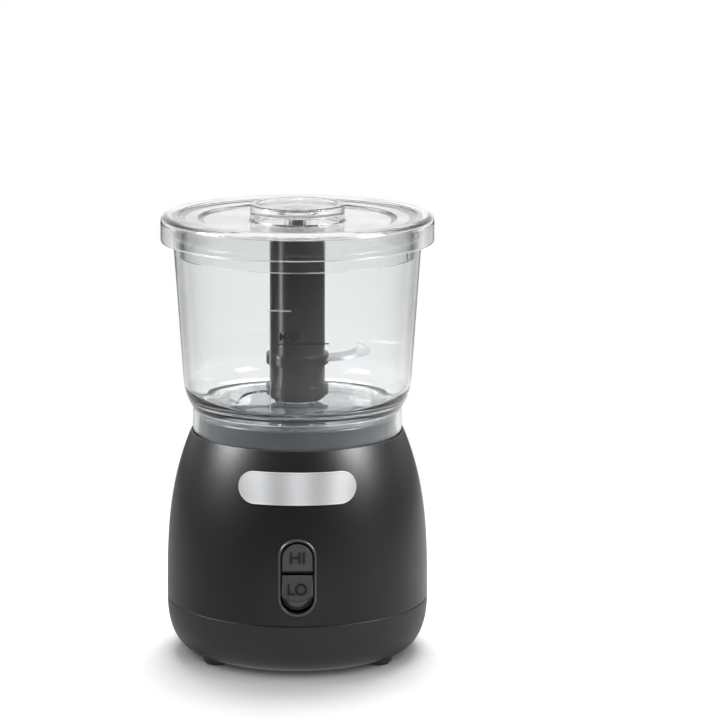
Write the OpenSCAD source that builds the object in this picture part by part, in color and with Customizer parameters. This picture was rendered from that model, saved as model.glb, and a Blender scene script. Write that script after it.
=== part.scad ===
// Electric food chopper: clear bowl and lid stacked on a motor base, run by pressing the lid.
// Origin on the table under the middle of the base, +Z up, front of the object at -Y, millimetres.

/* [Base housing] */
// radius of the base at the seam, its widest place
base_r = 64.35; // [62:0.05:70]
// radius of the base at its top rim
rim_r = 52.2; // [50:0.1:54]
// height of the seam above the table
seam_z = 27.3; // [26:0.1:34]
// height of the upper housing, seam to rim
housing_h = 83.2; // [80:0.1:95]
// how late the side of the housing draws in towards the rim
waist_power = 2.9; // [2:0.1:4]
// wall of the housing and of the bottom cover
wall = 2.4; // [2:0.1:3]
// open line between the housing and the bottom cover
seam_gap = 0.5; // [0.2:0.1:0.8]
// thickness of the thin lip at the rim
lip_t = 0.6; // [0.5:0.05:1]
// depth of the ring groove that takes the bowl foot
groove_depth = 6.2; // [5.6:0.1:8]
// thickness of the deck and of the groove floor
deck_t = 2.5; // [2:0.1:3]
// rise of the plinth inside the bowl foot, above the rim
plinth_rise = 9.4; // [7:0.1:10]
// chamfer round the top of the plinth
plinth_chamfer = 1.2; // [0.5:0.1:2]
// rise of the spill collar round the drive
collar_h = 4.2; // [3:0.1:4.6]
// wall of the spill collar
collar_t = 1.2; // [1:0.1:1.5]

/* [Bottom cover] */
// height of the underside above the table
cover_z = 2.0; // [1.6:0.1:3]
// radius of the flat underside
cover_flat_r = 50; // [47:0.5:53]
// squareness of the rounded lower edge
cover_power = 2.3; // [2:0.1:3]
// height of the tongue that enters the housing
tongue_h = 3; // [2:0.1:4]
// thickness of the tongue
tongue_t = 1.5; // [1.2:0.1:2]
// sideways place of the feet
foot_x = 39.5; // [37:0.1:41]
// front and back place of the feet
foot_y = 31; // [29:0.1:33]
// radius of a rubber foot
foot_rad = 5.6; // [5:0.1:6]
// wall of the boss round a rubber foot
foot_boss_t = 1; // [0.8:0.1:1.2]
// height of the boss edge above the table
foot_stand = 1.5; // [1.2:0.1:1.8]
// depth of the foot in its boss
foot_plug = 2; // [1.6:0.1:2.4]
// height of the foot boss above the edge of its recess
foot_boss_h = 4.5; // [4:0.1:6]
// number of vent slots in the underside
vent_count = 12; // [8:1:16]
// width of a vent slot
vent_w = 2.4; // [2:0.1:3]
// radius where a vent slot begins
vent_r0 = 11; // [10:0.5:13]
// radius where a vent slot ends
vent_r1 = 25; // [22:0.5:27]

/* [Cord inlet] */
// height of the cord inlet
inlet_z = 14.5; // [13:0.1:15]
// radius of the bore for a cord
inlet_bore_r = 3.6; // [3:0.1:4]
// wall of the rubber bush
bush_t = 1.8; // [1.5:0.1:2]
// radius of the flange of the bush
bush_flange_r = 7; // [6.5:0.1:7.5]
// thickness of the flange
bush_flange_t = 1.9; // [1.5:0.1:2]
// length of the bush behind its flange
bush_len = 11; // [9:0.1:12]
// radius of the boss that carries the bush
inlet_boss_r = 8.4; // [8:0.1:9]

/* [Badge plate] */
// width of the plate
badge_w = 56.4; // [54:0.1:60]
// height of the plate
badge_h = 15; // [14:0.1:18]
// height of its middle above the seam
badge_rise = 66.2; // [64:0.1:67]
// how far the plate stands proud
badge_t = 0.9; // [0.6:0.05:1.2]

/* [Speed rocker] */
// height of the rocker pivot above the seam
rocker_rise = 24; // [23:0.1:26]
// width of the opening in the housing
slot_w = 16.2; // [15.8:0.1:17]
// height of the opening in the housing
slot_h = 35.4; // [34.8:0.1:37]
// width of the raised lip round the opening
slot_lip_w = 1; // [0.8:0.1:1.4]
// how far the lip stands proud
slot_lip_t = 0.8; // [0.5:0.1:1]
// gap between the rocker and the sides of the opening
rocker_gap = 0.6; // [0.5:0.05:0.8]
// gap at the ends of the rocker
rocker_end_gap = 1.2; // [1:0.1:1.6]
// depth of the pivot behind the face of the housing
pivot_depth = 4; // [3.6:0.1:4.4]
// how far the pressed half lies below the face
press_in = 1; // [0.6:0.1:1.2]
// how far the raised half stands proud
stand_out = 2; // [1.6:0.1:2.2]
// height of the groove above the pivot
rocker_groove_rise = 2.3; // [1.6:0.1:3]
// width of the groove between the halves
rocker_groove_w = 1.8; // [1.4:0.1:2.2]
// depth of the groove between the halves
rocker_groove_d = 1.2; // [0.8:0.1:1.4]
// distance from the pivot down to the lower edge of the raised half
rocker_edge_drop = 10.9; // [10:0.1:12]
// height of the sloping nose below that edge
rocker_nose_h = 3.1; // [2.6:0.1:3.6]
// how far the nose slopes back
rocker_nose_d = 2; // [1.4:0.1:2.4]
// radius of the pivot pin
pin_r = 1.25; // [1:0.05:1.4]
// thickness of the two arms that carry the pin
arm_t = 2.5; // [2:0.1:3]
// length of the arms behind the pin
arm_len = 17; // [15:0.5:18]
// height of the arms
arm_h = 12; // [11:0.5:14]
// distance from the pivot to the tip of the rocker leg
leg_len = 8; // [7.5:0.1:8.5]
// radius of the tip of the leg
leg_tip_r = 1.2; // [1:0.05:1.3]
// depth of the speed switch
speed_switch_d = 10; // [9:0.5:11]
// height of the speed switch
speed_switch_h = 22; // [20:0.5:24]

/* [Motor frame] */
// distance from the groove floor down to the frame
frame_drop = 13; // [12:0.1:15]
// thickness of the frame plate
frame_t = 3; // [2.6:0.1:4]
// radius of the posts that carry the frame
post_rad = 3.6; // [3.2:0.1:3.8]
// radius of the legs under the frame
leg_rad = 4; // [3.6:0.1:4.4]
// sideways place of the legs
leg_x = 26; // [25:0.1:27]
// front and back place of the legs
leg_y = 32; // [31:0.1:33]
// height below the seam where the legs meet the bottom cover
leg_seat = 4; // [3:0.1:6]
// radius of a screw thread
screw_r = 1.5; // [1.2:0.05:1.7]
// radius of a screw head
head_r = 2.8; // [2.4:0.1:3]
// height of a screw head
head_h = 2; // [1.6:0.1:2.4]
// length of thread in its post
screw_grip = 9; // [8:0.5:11]
// material under the head of a cover screw
head_seat = 3; // [2.5:0.1:4]

/* [Motor] */
// radius of the motor can
can_r = 31; // [29:0.1:32]
// length of the motor can
can_len = 50; // [48:0.1:53]
// wall of the motor can
can_t = 1.6; // [1.4:0.1:1.8]
// height of the end cap below the can
cap_h = 8; // [7:0.1:9]
// floor of the end cap
cap_floor = 2.5; // [2:0.1:3]
// radius of the motor shaft
shaft_r = 3; // [2.5:0.1:3.2]
// outer radius of both bearings
bearing_r = 7; // [6.5:0.1:7.4]
// height of both bearings
bearing_h = 6; // [5:0.1:7]
// wall round a bearing
bearing_wall = 2; // [1.6:0.1:2.2]
// rise of the bearing boss above the can
boss_rise = 4; // [3:0.1:5]
// thickness of the magnets
magnet_t = 4; // [3.5:0.1:4.2]
// length of the magnets
magnet_len = 28; // [26:0.1:30]
// gap between the magnets, across the can
magnet_split = 20; // [16:0.5:24]
// space between magnets and armature
air_gap = 0.6; // [0.5:0.05:0.8]
// length of the armature core
core_len = 20; // [18:0.1:22]
// height of the core above the lower edge of the can
core_rise = 18; // [17:0.1:19]
// number of armature slots
slot_count = 8; // [6:1:8]
// width of an armature slot
armature_slot_w = 4; // [3:0.1:4.4]
// bottom radius of an armature slot
armature_slot_r = 13; // [12:0.1:13.5]
// height of the winding ends
winding_h = 6; // [5:0.1:6.5]
// how far the windings stay inside the core edge
winding_inset = 2.6; // [2:0.1:3]
// radius of the commutator
commutator_r = 9.5; // [9:0.1:10]
// length of the commutator
commutator_len = 10; // [9:0.1:10.5]
// width of a carbon brush
brush_w = 6; // [5:0.1:6.4]
// height of a carbon brush
brush_h = 5; // [4.5:0.1:5.4]
// length of a carbon brush
brush_len = 10; // [8:0.1:11]
// wall of a brush holder
holder_t = 0.9; // [0.7:0.05:1]
// length of a brush holder
holder_len = 14; // [12.5:0.1:14.5]
// radius of the cooling fan
fan_r = 26; // [22:0.1:27]
// height of the cooling fan
fan_h = 8; // [6:0.1:9]
// number of fan blades
fan_count = 9; // [6:1:11]
// thickness of fan blades and fan disc
fan_t = 1.5; // [1.2:0.1:2]
// radius of the fan hub
fan_hub_r = 8; // [7:0.1:9]
// gap between the end cap and the fan
fan_gap = 2; // [1.5:0.1:3]
// length of shaft below the fan
shaft_tail = 1; // [0.5:0.1:2]

/* [Drive] */
// radius of the drive coupling
drive_r = 6; // [5.6:0.1:6.2]
// wall of the rubber shaft seal
seal_t = 1.3; // [1.2:0.05:1.5]
// height of the six-sided drive above the bowl post
drive_h = 13; // [11:0.1:15]
// depth of the six-sided drive inside the bowl post
drive_sink = 2; // [1:0.1:3]
// radius over the corners of the six-sided drive
hex_r = 5.9; // [5.4:0.05:5.9]
// length of the drive below the deck
drive_tail = 2; // [1:0.1:3]

/* [Press mechanism] */
// travel of the bowl when the lid is pressed
press_travel = 2; // [1.5:0.1:2.2]
// space left under the bowl foot when pressed
foot_float = 0.8; // [0.6:0.1:1.2]
// space left under the bowl floor when pressed
floor_float = 0.6; // [0.5:0.1:1]
// number of push pins under the bowl foot
push_pin_count = 3; // [3:1:4]
// radius of a push pin
push_pin_r = 1.25; // [1:0.05:1.25]
// width of the press ring
ring_w = 4.8; // [4.4:0.1:5]
// thickness of the press ring
ring_t = 3; // [2.5:0.1:3.5]
// mean radius of a spring
spring_r = 2; // [1.7:0.1:2.1]
// radius of the spring wire
wire_r = 0.35; // [0.25:0.05:0.4]
// number of turns of a spring
spring_turns = 4.5; // [4:0.5:5]
// radius of a spring peg
peg_r = 1.3; // [1:0.1:1.3]
// height of a spring peg
peg_h = 3.5; // [2.5:0.1:4]
// angle of the micro switch round the base
micro_turn = 20; // [18:1:22]
// thickness of the micro switch
micro_t = 6.2; // [5.8:0.1:6.4]
// width of the micro switch
micro_w = 20; // [18:0.5:20.5]
// height of the micro switch
micro_h = 10; // [9:0.1:11]
// distance from the frame down to the micro switch
micro_drop = 7.4; // [7:0.1:9]
// radius of the micro switch plunger
plunger_r = 1.4; // [1.2:0.1:1.5]
// width of the finger that works the plunger
finger_w = 3.6; // [3:0.1:4]
// thickness of the tab that carries the micro switch
tab_t = 2.5; // [2:0.1:2.8]
// radius of the rivets of the micro switch
rivet_r = 1.2; // [1:0.05:1.4]

/* [Circuit board] */
// width of the board
board_w = 40; // [38:0.5:41]
// height of the board
board_h = 28; // [26:0.5:30]
// thickness of the board
board_t = 1.6; // [1.2:0.1:1.8]
// distance from the edge of the base in to the board
board_inset = 19.35; // [18.4:0.05:19.9]
// height of the board above the cover floor
board_rise = 2; // [1.5:0.1:3]
// width of a board rib
rib_w = 4; // [3.5:0.1:4.5]
// wall of the slot in a board rib
rib_wall = 1.5; // [1.2:0.1:1.6]
// height of the board ribs
rib_h = 18; // [14:0.5:20]
// how far the board enters its ribs
rib_grip = 1; // [0.6:0.1:1.4]
// width of the filter capacitor
capacitor_w = 14; // [12:0.1:15]
// depth of the filter capacitor
capacitor_d = 8; // [7:0.1:8.5]
// height of the filter capacitor
capacitor_h = 14; // [12:0.1:16]
// width of the bridge rectifier
rectifier_w = 13; // [11:0.1:14]
// depth of the bridge rectifier
rectifier_d = 4.5; // [4:0.1:5]
// height of the bridge rectifier
rectifier_h = 13; // [11:0.1:14]
// space on the board between the two parts
board_part_gap = 4; // [3:0.1:5]
// height of the two parts above the foot of the board
board_part_rise = 7; // [6:0.1:9]

/* [Bowl] */
// height of the bowl from its floor to its rim
bowl_h = 92.1; // [85:0.1:110]
// outer radius of the bowl at its rim
bowl_r = 61.05; // [60:0.05:62]
// draw-in of the bowl wall over its height
bowl_taper = 6.15; // [5:0.05:7]
// wall of the bowl
bowl_wall = 2; // [1.8:0.1:2.2]
// thickness of the bowl floor
bowl_floor_t = 2.6; // [2.2:0.1:3.2]
// height of the rounded lower edge outside
corner_h = 15.5; // [12:0.5:18]
// how tightly the rounded lower edge outside bends
corner_power = 2.5; // [2:0.1:3]
// radius of the rounded lower edge inside
corner_r = 10; // [8:0.5:12]
// wall of the bowl foot
bowl_foot_t = 2.4; // [2:0.1:2.6]
// gap between the bowl foot and the groove
foot_gap = 0.35; // [0.3:0.05:0.45]
// gap between the bowl foot and the plinth
plinth_gap = 0.55; // [0.4:0.05:0.65]
// height of the post in the middle of the bowl
post_h = 26; // [22:0.1:30]
// wall of the post
post_t = 1.9; // [1.6:0.1:2.1]
// gap between the spill collar and the post
collar_gap = 0.5; // [0.35:0.05:0.6]

/* [Blade] */
// radius of the blade hub
hub_r = 13.5; // [13.2:0.1:14.4]
// gap between the hub and the bowl post
hub_gap = 0.5; // [0.35:0.05:0.6]
// height of the hub above the bowl floor
hub_float = 2; // [1.5:0.1:3]
// gap between the six-sided drive and its socket
socket_gap = 0.35; // [0.3:0.05:0.5]
// radius of the pin at the top of the hub
hub_pin_r = 2.9; // [2.5:0.1:3.2]
// thickness of the blades
blade_t = 1.2; // [1:0.1:1.5]
// height of the lower blade above the foot of the hub
blade_rise = 3.4; // [3:0.1:5]
// height from the lower to the upper blade
blade_pitch = 15.2; // [13:0.1:15.6]
// gap between a blade tip and the bowl
blade_gap = 4; // [3:0.1:6]
// width of a blade at its root
blade_root_w = 15; // [12:0.1:16]
// sweep of a blade, root to tip, in degrees
blade_sweep = 52; // [40:1:60]
// width of the blade collars beyond the hub
blade_collar_t = 1.8; // [1.5:0.1:2.4]
// height of the blade collars
blade_collar_h = 5.2; // [4.6:0.1:6]

/* [Lid] */
// how far the lid reaches out past the bowl rim
lid_overhang = 5.45; // [4:0.05:7]
// height of the lid rim
lid_rim_h = 12.7; // [10:0.1:15]
// wall of the lid
lid_wall = 2; // [1.8:0.1:2.2]
// thickness of the lid plate
lid_t = 2.4; // [2.2:0.1:2.8]
// rounding of the upper lid edge
lid_round = 1.4; // [1:0.1:1.6]
// depth of the inner skirt below the bowl rim
skirt_drop = 17.1; // [12:0.1:20]
// wall of the inner skirt
skirt_t = 1.8; // [1.5:0.1:2]
// gap between the inner skirt and the bowl
skirt_gap = 0.5; // [0.35:0.05:0.7]
// radius of the outer step in the lid top
step_r1 = 58.2; // [57.8:0.1:58.8]
// depth of the outer step
step_d1 = 1.1; // [0.8:0.1:1.2]
// fall of the lid top between the steps
step_fall = 0.6; // [0.4:0.1:0.8]
// radius of the inner step in the lid top
step_r2 = 48.2; // [46:0.1:50]
// depth of the inner step
step_d2 = 1.1; // [0.8:0.1:1.3]
// radius of the knob
knob_r = 23; // [21:0.1:25]
// height of the knob above the lid rim
knob_rise = 5.2; // [4.8:0.1:7]
// width of the edge round the top of the knob
knob_edge = 4; // [3:0.1:4.5]
// depth of the dish in the knob
dish_d = 1.6; // [1.2:0.1:2]
// radius of the bearing boss under the knob
lid_boss_r = 6.5; // [6:0.1:7]
// depth of the bearing boss below the dish
lid_boss_h = 7.4; // [7:0.1:8]
// space above the hub pin when pressed
pin_float = 0.6; // [0.5:0.1:0.8]
// space above the hub when pressed
hub_top_float = 0.8; // [0.6:0.1:1]

/* [Fits] */
// slip of a part seated in another
seat = 0.04; // [0.02:0.01:0.06]
// slip of a turning shaft in its bearing
run = 0.04; // [0.02:0.01:0.08]
// space between faces that pass each other
pass = 0.35; // [0.3:0.05:0.4]
// overlap that joins the features of one part
bury = 0.5; // [0.4:0.1:0.6]

/* [Hidden] */
$fn = 96;

// steps along a drawn curve
curve_steps = 24;
// reach of a cut beyond what it cuts
beyond = 1;
// turn where the inside of the rounded cover edge gives way to the tongue
cover_stop = 20;

rim_z = seam_z + housing_h;
groove_z = rim_z - groove_depth;
groove_under = groove_z - deck_t;
deck_z = rim_z + plinth_rise;
deck_under = deck_z - deck_t;
groove_r = rim_r - lip_t;
foot_r = groove_r - foot_gap;
plinth_r = foot_r - bowl_foot_t - plinth_gap;
push_r = (groove_r + plinth_r) / 2;

seal_r = drive_r + run + seal_t + seat;
collar_r = seal_r + collar_t;
post_in = collar_r + collar_gap;
post_out = post_in + post_t;
hub_bore = post_out + hub_gap;

foot_z = groove_z + press_travel + foot_float;
floor_under = deck_z + press_travel + floor_float;
floor_z = floor_under + bowl_floor_t;
bowl_top = floor_under + bowl_h;
post_top = floor_z + post_h;

frame_top = groove_under - frame_drop;
frame_under = frame_top - frame_t;
frame_r = push_r + ring_w / 2 + pass;
post_pos = plinth_r - wall - post_rad - pass;
leg_bottom = seam_z - leg_seat;

can_bottom = frame_under - can_len;
cap_bottom = can_bottom - cap_h;
fan_top = cap_bottom - fan_gap;
fan_bottom = fan_top - fan_h;
shaft_bottom = fan_bottom - shaft_tail;
magnet_r = can_r - can_t - seat;
core_r = magnet_r - magnet_t - air_gap;
core_z = can_bottom + core_rise;
brush_z = can_bottom + holder_t + brush_h / 2 + seat + bury;

ring_top = groove_under - seat;
ring_under = ring_top - ring_t;
ring_out = housing_r(groove_under) - wall - pass;
ring_in = ring_out - ring_w;
micro_top = frame_under - micro_drop;
plunger_top = micro_top + press_travel + pass;
finger_bottom = plunger_top + seat;
drive_top = post_top + drive_h;
shaft_top = post_top - drive_sink;

rocker_z = seam_z + rocker_rise;
pivot_y = -(housing_r(rocker_z) - pivot_depth);
badge_z = seam_z + badge_rise;
rocker_w = slot_w - 2 * rocker_gap;
rocker_h = slot_h - 2 * rocker_end_gap;
arm_x = slot_w / 2 + pass;

hub_bottom = floor_z + hub_float;
lid_r = bowl_r + lid_overhang;
lid_under = bowl_top + seat;
lid_top = lid_under + lid_t;
inner_top = lid_top - step_d1 - step_fall - step_d2;
knob_top = lid_top + knob_rise;
dish_z = knob_top - dish_d;
dish_under = dish_z - lid_t;
lid_boss_z = dish_under - lid_boss_h;
lid_bore_top = dish_under - pass;
hub_top = lid_boss_z - press_travel - hub_top_float;
hub_pin_top = lid_bore_top - press_travel - pin_float;
skirt_z = bowl_top - skirt_drop;
skirt_r = bowl_in(skirt_z) - skirt_gap;
lower_blade_z = hub_bottom + blade_rise;
upper_blade_z = lower_blade_z + blade_pitch;
eye_r = hub_r + blade_collar_t / 2;

inlet_face = base_r - seam_gap / 2;
board_y = base_r - board_inset;

// radius of the housing at a height
function housing_r(z) =
    base_r - (base_r - rim_r) * pow(max(0, (z - seam_z) / housing_h), waist_power);

// radius and height on the rounded lower edge of the cover, at a turn from 0 to 90 degrees
function cover_point(turn, inset) = [
    cover_flat_r + (base_r - cover_flat_r - inset) * pow(cos(turn), 2 / cover_power),
    seam_z - (seam_z - cover_z - inset) * pow(sin(turn), 2 / cover_power)];

// outer radius of the straight bowl wall at a height
function bowl_out(z) = bowl_r - bowl_taper * (bowl_top - z) / bowl_h;

// inner radius of the bowl wall at a height
function bowl_in(z) = bowl_out(z) - bowl_wall;

// outer radius of the bowl in its rounded lower edge
function corner_out(z) =
    bowl_out(z) - (bowl_out(floor_under) - foot_r) *
        pow(max(0, 1 - (z - floor_under) / corner_h), corner_power);

// evenly spaced heights from one level to another
function levels(from, to, count) = [for (i = [0:count]) from + (to - from) * i / count];

// one helix point
function helix(turn, rise, r) = [r * cos(turn), r * sin(turn), rise];

// upright slot outline with round ends
module slot_outline(w, h) {
    round_r = min(w, h) / 2;
    square([w > h ? w - 2 * round_r : w, w > h ? h : h - 2 * round_r], center = true);
    for (side = [-1, 1])
        translate(w > h ? [side * (w / 2 - round_r), 0] : [0, side * (h / 2 - round_r)])
            circle(r = round_r);
}

// slot outline pushed through the front wall at a height
module front_slot(w, h, z) {
    translate([0, -base_r / 2, z])
        rotate([90, 0, 0])
            linear_extrude(base_r) slot_outline(w, h);
}

// thin skin that follows the housing between two heights and two offsets
module skin(z0, z1, in, out) {
    rows = levels(z0, z1, curve_steps / 2);
    back = levels(z1, z0, curve_steps / 2);
    rotate_extrude() polygon(concat(
        [for (z = rows) [housing_r(z) + out, z]],
        [for (z = back) [housing_r(z) + in, z]]));
}

// upright tube
module tube(r_out, r_in, z0, z1) {
    translate([0, 0, z0]) difference() {
        cylinder(r = r_out, h = z1 - z0);
        translate([0, 0, -beyond]) cylinder(r = r_in, h = z1 - z0 + 2 * beyond);
    }
}

// screw with its head at the given height, thread running up or down
module screw(head_z, thread, up) {
    translate([0, 0, up ? head_z : head_z]) cylinder(r = head_r, h = head_h);
    translate([0, 0, up ? head_z + head_h - bury : head_z - thread])
        cylinder(r = screw_r, h = thread + bury);
}

// the four places of the frame posts
module at_posts() {
    for (turn = [0:90:270]) rotate(turn) translate([post_pos, 0, 0]) children();
}

// the four places of the frame legs
module at_legs() {
    for (x = [-leg_x, leg_x], y = [-leg_y, leg_y]) translate([x, y, 0]) children();
}

// the four places of the feet
module at_feet() {
    for (x = [-foot_x, foot_x], y = [-foot_y, foot_y]) translate([x, y, 0]) children();
}

// the places of the push pins
module at_pins() {
    for (i = [0:push_pin_count - 1]) rotate(30 + 360 * i / push_pin_count)
        translate([push_r, 0, 0]) children();
}

// the places of the three springs
module at_springs() {
    for (turn = [90, 210, 330]) rotate(turn) translate([push_r, 0, 0]) children();
}

module housing_shell() {
    low = seam_z + seam_gap / 2;
    outer = levels(low, rim_z, curve_steps);
    inner = levels(groove_under, low, curve_steps);
    rotate_extrude() polygon(concat(
        [for (z = outer) [housing_r(z), z]],
        [[groove_r, rim_z], [groove_r, groove_z], [plinth_r, groove_z],
         [plinth_r, deck_z - plinth_chamfer], [plinth_r - plinth_chamfer, deck_z],
         [collar_r, deck_z], [collar_r, deck_z + collar_h], [seal_r, deck_z + collar_h],
         [seal_r, deck_under], [plinth_r - wall, deck_under], [plinth_r - wall, groove_under]],
        [for (z = inner) [housing_r(z) - wall, z]]));
}

module upper_housing() color("#2c2d2f") difference() {
    union() {
        housing_shell();
        intersection() {
            skin(rocker_z - slot_h, rocker_z + slot_h, -wall / 2, slot_lip_t);
            front_slot(slot_w + 2 * slot_lip_w, slot_h + 2 * slot_lip_w, rocker_z);
        }
        intersection() {
            for (side = [-1, 1])
                translate([side > 0 ? arm_x : -arm_x - arm_t, -base_r, rocker_z - arm_h / 2])
                    cube([arm_t, base_r + pivot_y + arm_len, arm_h]);
            translate([0, 0, seam_z]) cylinder(r = housing_r(rocker_z + arm_h) - wall / 2, h = housing_h);
        }
        at_posts() translate([0, 0, frame_top + seat])
            cylinder(r = post_rad, h = deck_under - frame_top + bury);
    }
    front_slot(slot_w, slot_h, rocker_z);
    at_posts() translate([0, 0, frame_top - beyond])
        cylinder(r = screw_r + seat, h = screw_grip + beyond + seat);
    at_pins() translate([0, 0, groove_under - beyond])
        cylinder(r = push_pin_r + run, h = deck_t + 2 * beyond);
    translate([-arm_x - arm_t - beyond, pivot_y, rocker_z]) rotate([0, 90, 0])
        cylinder(r = pin_r + seat, h = 2 * (arm_x + arm_t + beyond));
}

module cover_shell() {
    turns = levels(0, 90, curve_steps);
    back = levels(90, cover_stop, curve_steps);
    top = seam_z - seam_gap / 2;
    tongue_r = base_r - wall - seat - bury / 2;
    rotate_extrude() polygon(concat(
        [[base_r, top]],
        [for (turn = turns) if (turn > 0) cover_point(turn, 0)],
        [[0, cover_z], [0, cover_z + wall]],
        [for (turn = back) cover_point(turn, wall)],
        [[tongue_r - tongue_t, top - tongue_h], [tongue_r - tongue_t, top + tongue_h],
         [tongue_r, top + tongue_h], [tongue_r, top]]));
}

module board_ribs() {
    low = cover_z + wall / 2;
    for (side = [-1, 1]) difference() {
        translate([side > 0 ? board_w / 2 - rib_grip : -board_w / 2 + rib_grip - rib_w,
            board_y - rib_wall, low])
            cube([rib_w, board_t + 2 * rib_wall, rib_h]);
        translate([-board_w / 2 - seat, board_y - seat, cover_z + wall + board_rise])
            cube([board_w + 2 * seat, board_t + 2 * seat, board_h]);
    }
}

module bottom_cover() color("#2b2c2e") difference() {
    union() {
        cover_shell();
        board_ribs();
        at_feet() translate([0, 0, foot_stand])
            cylinder(r = foot_rad + seat + foot_boss_t, h = foot_boss_h);
        at_legs() translate([0, 0, cover_z + bury])
            cylinder(r = leg_rad + bury, h = leg_bottom - cover_z - bury);
        translate([0, inlet_face, inlet_z]) rotate([90, 0, 0]) cylinder(r = inlet_boss_r, h = bush_len - bury);
    }
    at_feet() translate([0, 0, foot_stand - beyond])
        cylinder(r = foot_rad + seat, h = foot_plug + seat + beyond);
    at_legs() {
        translate([0, 0, -beyond]) cylinder(r = head_r + seat, h = leg_bottom - head_seat + beyond);
        cylinder(r = screw_r + seat, h = leg_bottom + beyond);
    }
    translate([0, inlet_face + beyond, inlet_z]) rotate([90, 0, 0])
        cylinder(r = inlet_bore_r + bush_t + seat, h = bush_len + 2 * beyond);
    for (i = [0:vent_count - 1]) rotate(360 * (i + 0.5) / vent_count)
        translate([vent_r0, -vent_w / 2, cover_z - beyond])
            cube([vent_r1 - vent_r0, vent_w, wall + 2 * beyond]);
}

module rubber_feet() color("#161616") at_feet()
    cylinder(r = foot_rad, h = foot_stand + foot_plug);

module cover_screws() color("#8f9296") at_legs()
    translate([0, 0, leg_bottom - head_seat - head_h - seat]) {
        cylinder(r = head_r, h = head_h);
        translate([0, 0, head_h - bury]) cylinder(r = screw_r, h = head_seat + screw_grip + bury);
    }

module cord_bush() color("#1a1a1a")
    translate([0, inlet_face + seat, inlet_z]) rotate([-90, 0, 0]) difference() {
        union() {
            cylinder(r = bush_flange_r, h = bush_flange_t);
            translate([0, 0, -bush_len]) cylinder(r = inlet_bore_r + bush_t, h = bush_len + bury);
        }
        translate([0, 0, -bush_len - beyond])
            cylinder(r = inlet_bore_r, h = bush_len + bush_flange_t + 2 * beyond);
    }

module badge_plate() color("#c9cbcd") intersection() {
    skin(badge_z - badge_h, badge_z + badge_h, seat, badge_t);
    front_slot(badge_w, badge_h, badge_z);
}

// side outline of the rocker: first outwards from the pivot, then upwards
module rocker_side() {
    half = rocker_h / 2;
    groove_top = rocker_groove_rise + rocker_groove_w / 2;
    groove_low = rocker_groove_rise - rocker_groove_w / 2;
    pressed = pivot_depth - press_in;
    raised = pivot_depth + stand_out;
    middle = pivot_depth - press_in / 2;
    back = pin_r / 2;
    polygon([[back, half], [pressed, half],
        [middle, groove_top], [middle - rocker_groove_d, groove_top],
        [middle - rocker_groove_d, groove_low], [middle, groove_low],
        [raised, -rocker_edge_drop],
        [raised - rocker_nose_d, -rocker_edge_drop - rocker_nose_h], [back, -half]]);
}

module speed_rocker() color("#36383a") translate([0, pivot_y, rocker_z]) difference() {
    union() {
        intersection() {
            rotate([90, 0, -90]) translate([0, 0, -rocker_w / 2]) linear_extrude(rocker_w) rocker_side();
            rotate([90, 0, 0]) translate([0, 0, -base_r / 2]) linear_extrude(base_r)
                slot_outline(rocker_w, rocker_h);
            translate([-rocker_w / 2, 0, 0]) rotate([0, 90, 0])
                cylinder(r = slot_h / 2 - pass, h = rocker_w);
        }
        translate([-rocker_w / 2, 0, 0]) rotate([0, 90, 0]) cylinder(r = pin_r + 2 * bury, h = rocker_w);
        translate([-leg_tip_r, 0, -leg_tip_r * 2 / 3]) cube([2 * leg_tip_r, leg_len, leg_tip_r * 4 / 3]);
        translate([-leg_tip_r, leg_len, 0]) rotate([0, 90, 0]) cylinder(r = leg_tip_r, h = 2 * leg_tip_r);
    }
    translate([-rocker_w, 0, 0]) rotate([0, 90, 0]) cylinder(r = pin_r + run, h = 2 * rocker_w);
}

module rocker_pin() color("#a8abae") translate([-arm_x - arm_t, pivot_y, rocker_z])
    rotate([0, 90, 0]) cylinder(r = pin_r, h = 2 * (arm_x + arm_t));

slider_w = 4 * leg_tip_r;
slider_h = 4 * (leg_tip_r + pass);
slider_y0 = pivot_y + leg_len - leg_tip_r - pass;
slider_y1 = pivot_y + leg_len + leg_tip_r + pass;
switch_y = slider_y1 + pass;
tongue_d = 2;

module switch_slider() color("#d8d6ce") difference() {
    union() {
        translate([-slider_w / 2, slider_y0, rocker_z - slider_h / 2])
            cube([slider_w, slider_y1 - slider_y0, slider_h]);
        translate([-slider_w / 2, slider_y1 - bury, rocker_z - slider_h / 4])
            cube([slider_w, tongue_d + bury, slider_h / 2]);
    }
    translate([-slider_w, slider_y0 - beyond, rocker_z - leg_tip_r - pass])
        cube([2 * slider_w, slider_y1 - slider_y0 + beyond - bury / 2, 2 * (leg_tip_r + pass)]);
}

module speed_switch() color("#3b3d40") {
    half_w = arm_x - seat;
    difference() {
        translate([-half_w, switch_y, rocker_z - speed_switch_h / 2])
            cube([2 * half_w, speed_switch_d, speed_switch_h]);
        translate([-slider_w / 2 - pass, switch_y - beyond, rocker_z - slider_h])
            cube([slider_w + 2 * pass, tongue_d + pass + beyond, 2 * slider_h]);
    }
    for (step = [-1, 0, 1])
        translate([-half_w / 4, switch_y + speed_switch_d - bury, rocker_z + step * speed_switch_h / 3])
            cube([half_w / 2, 2 * bury + tongue_d, bury * 2]);
}

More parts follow.
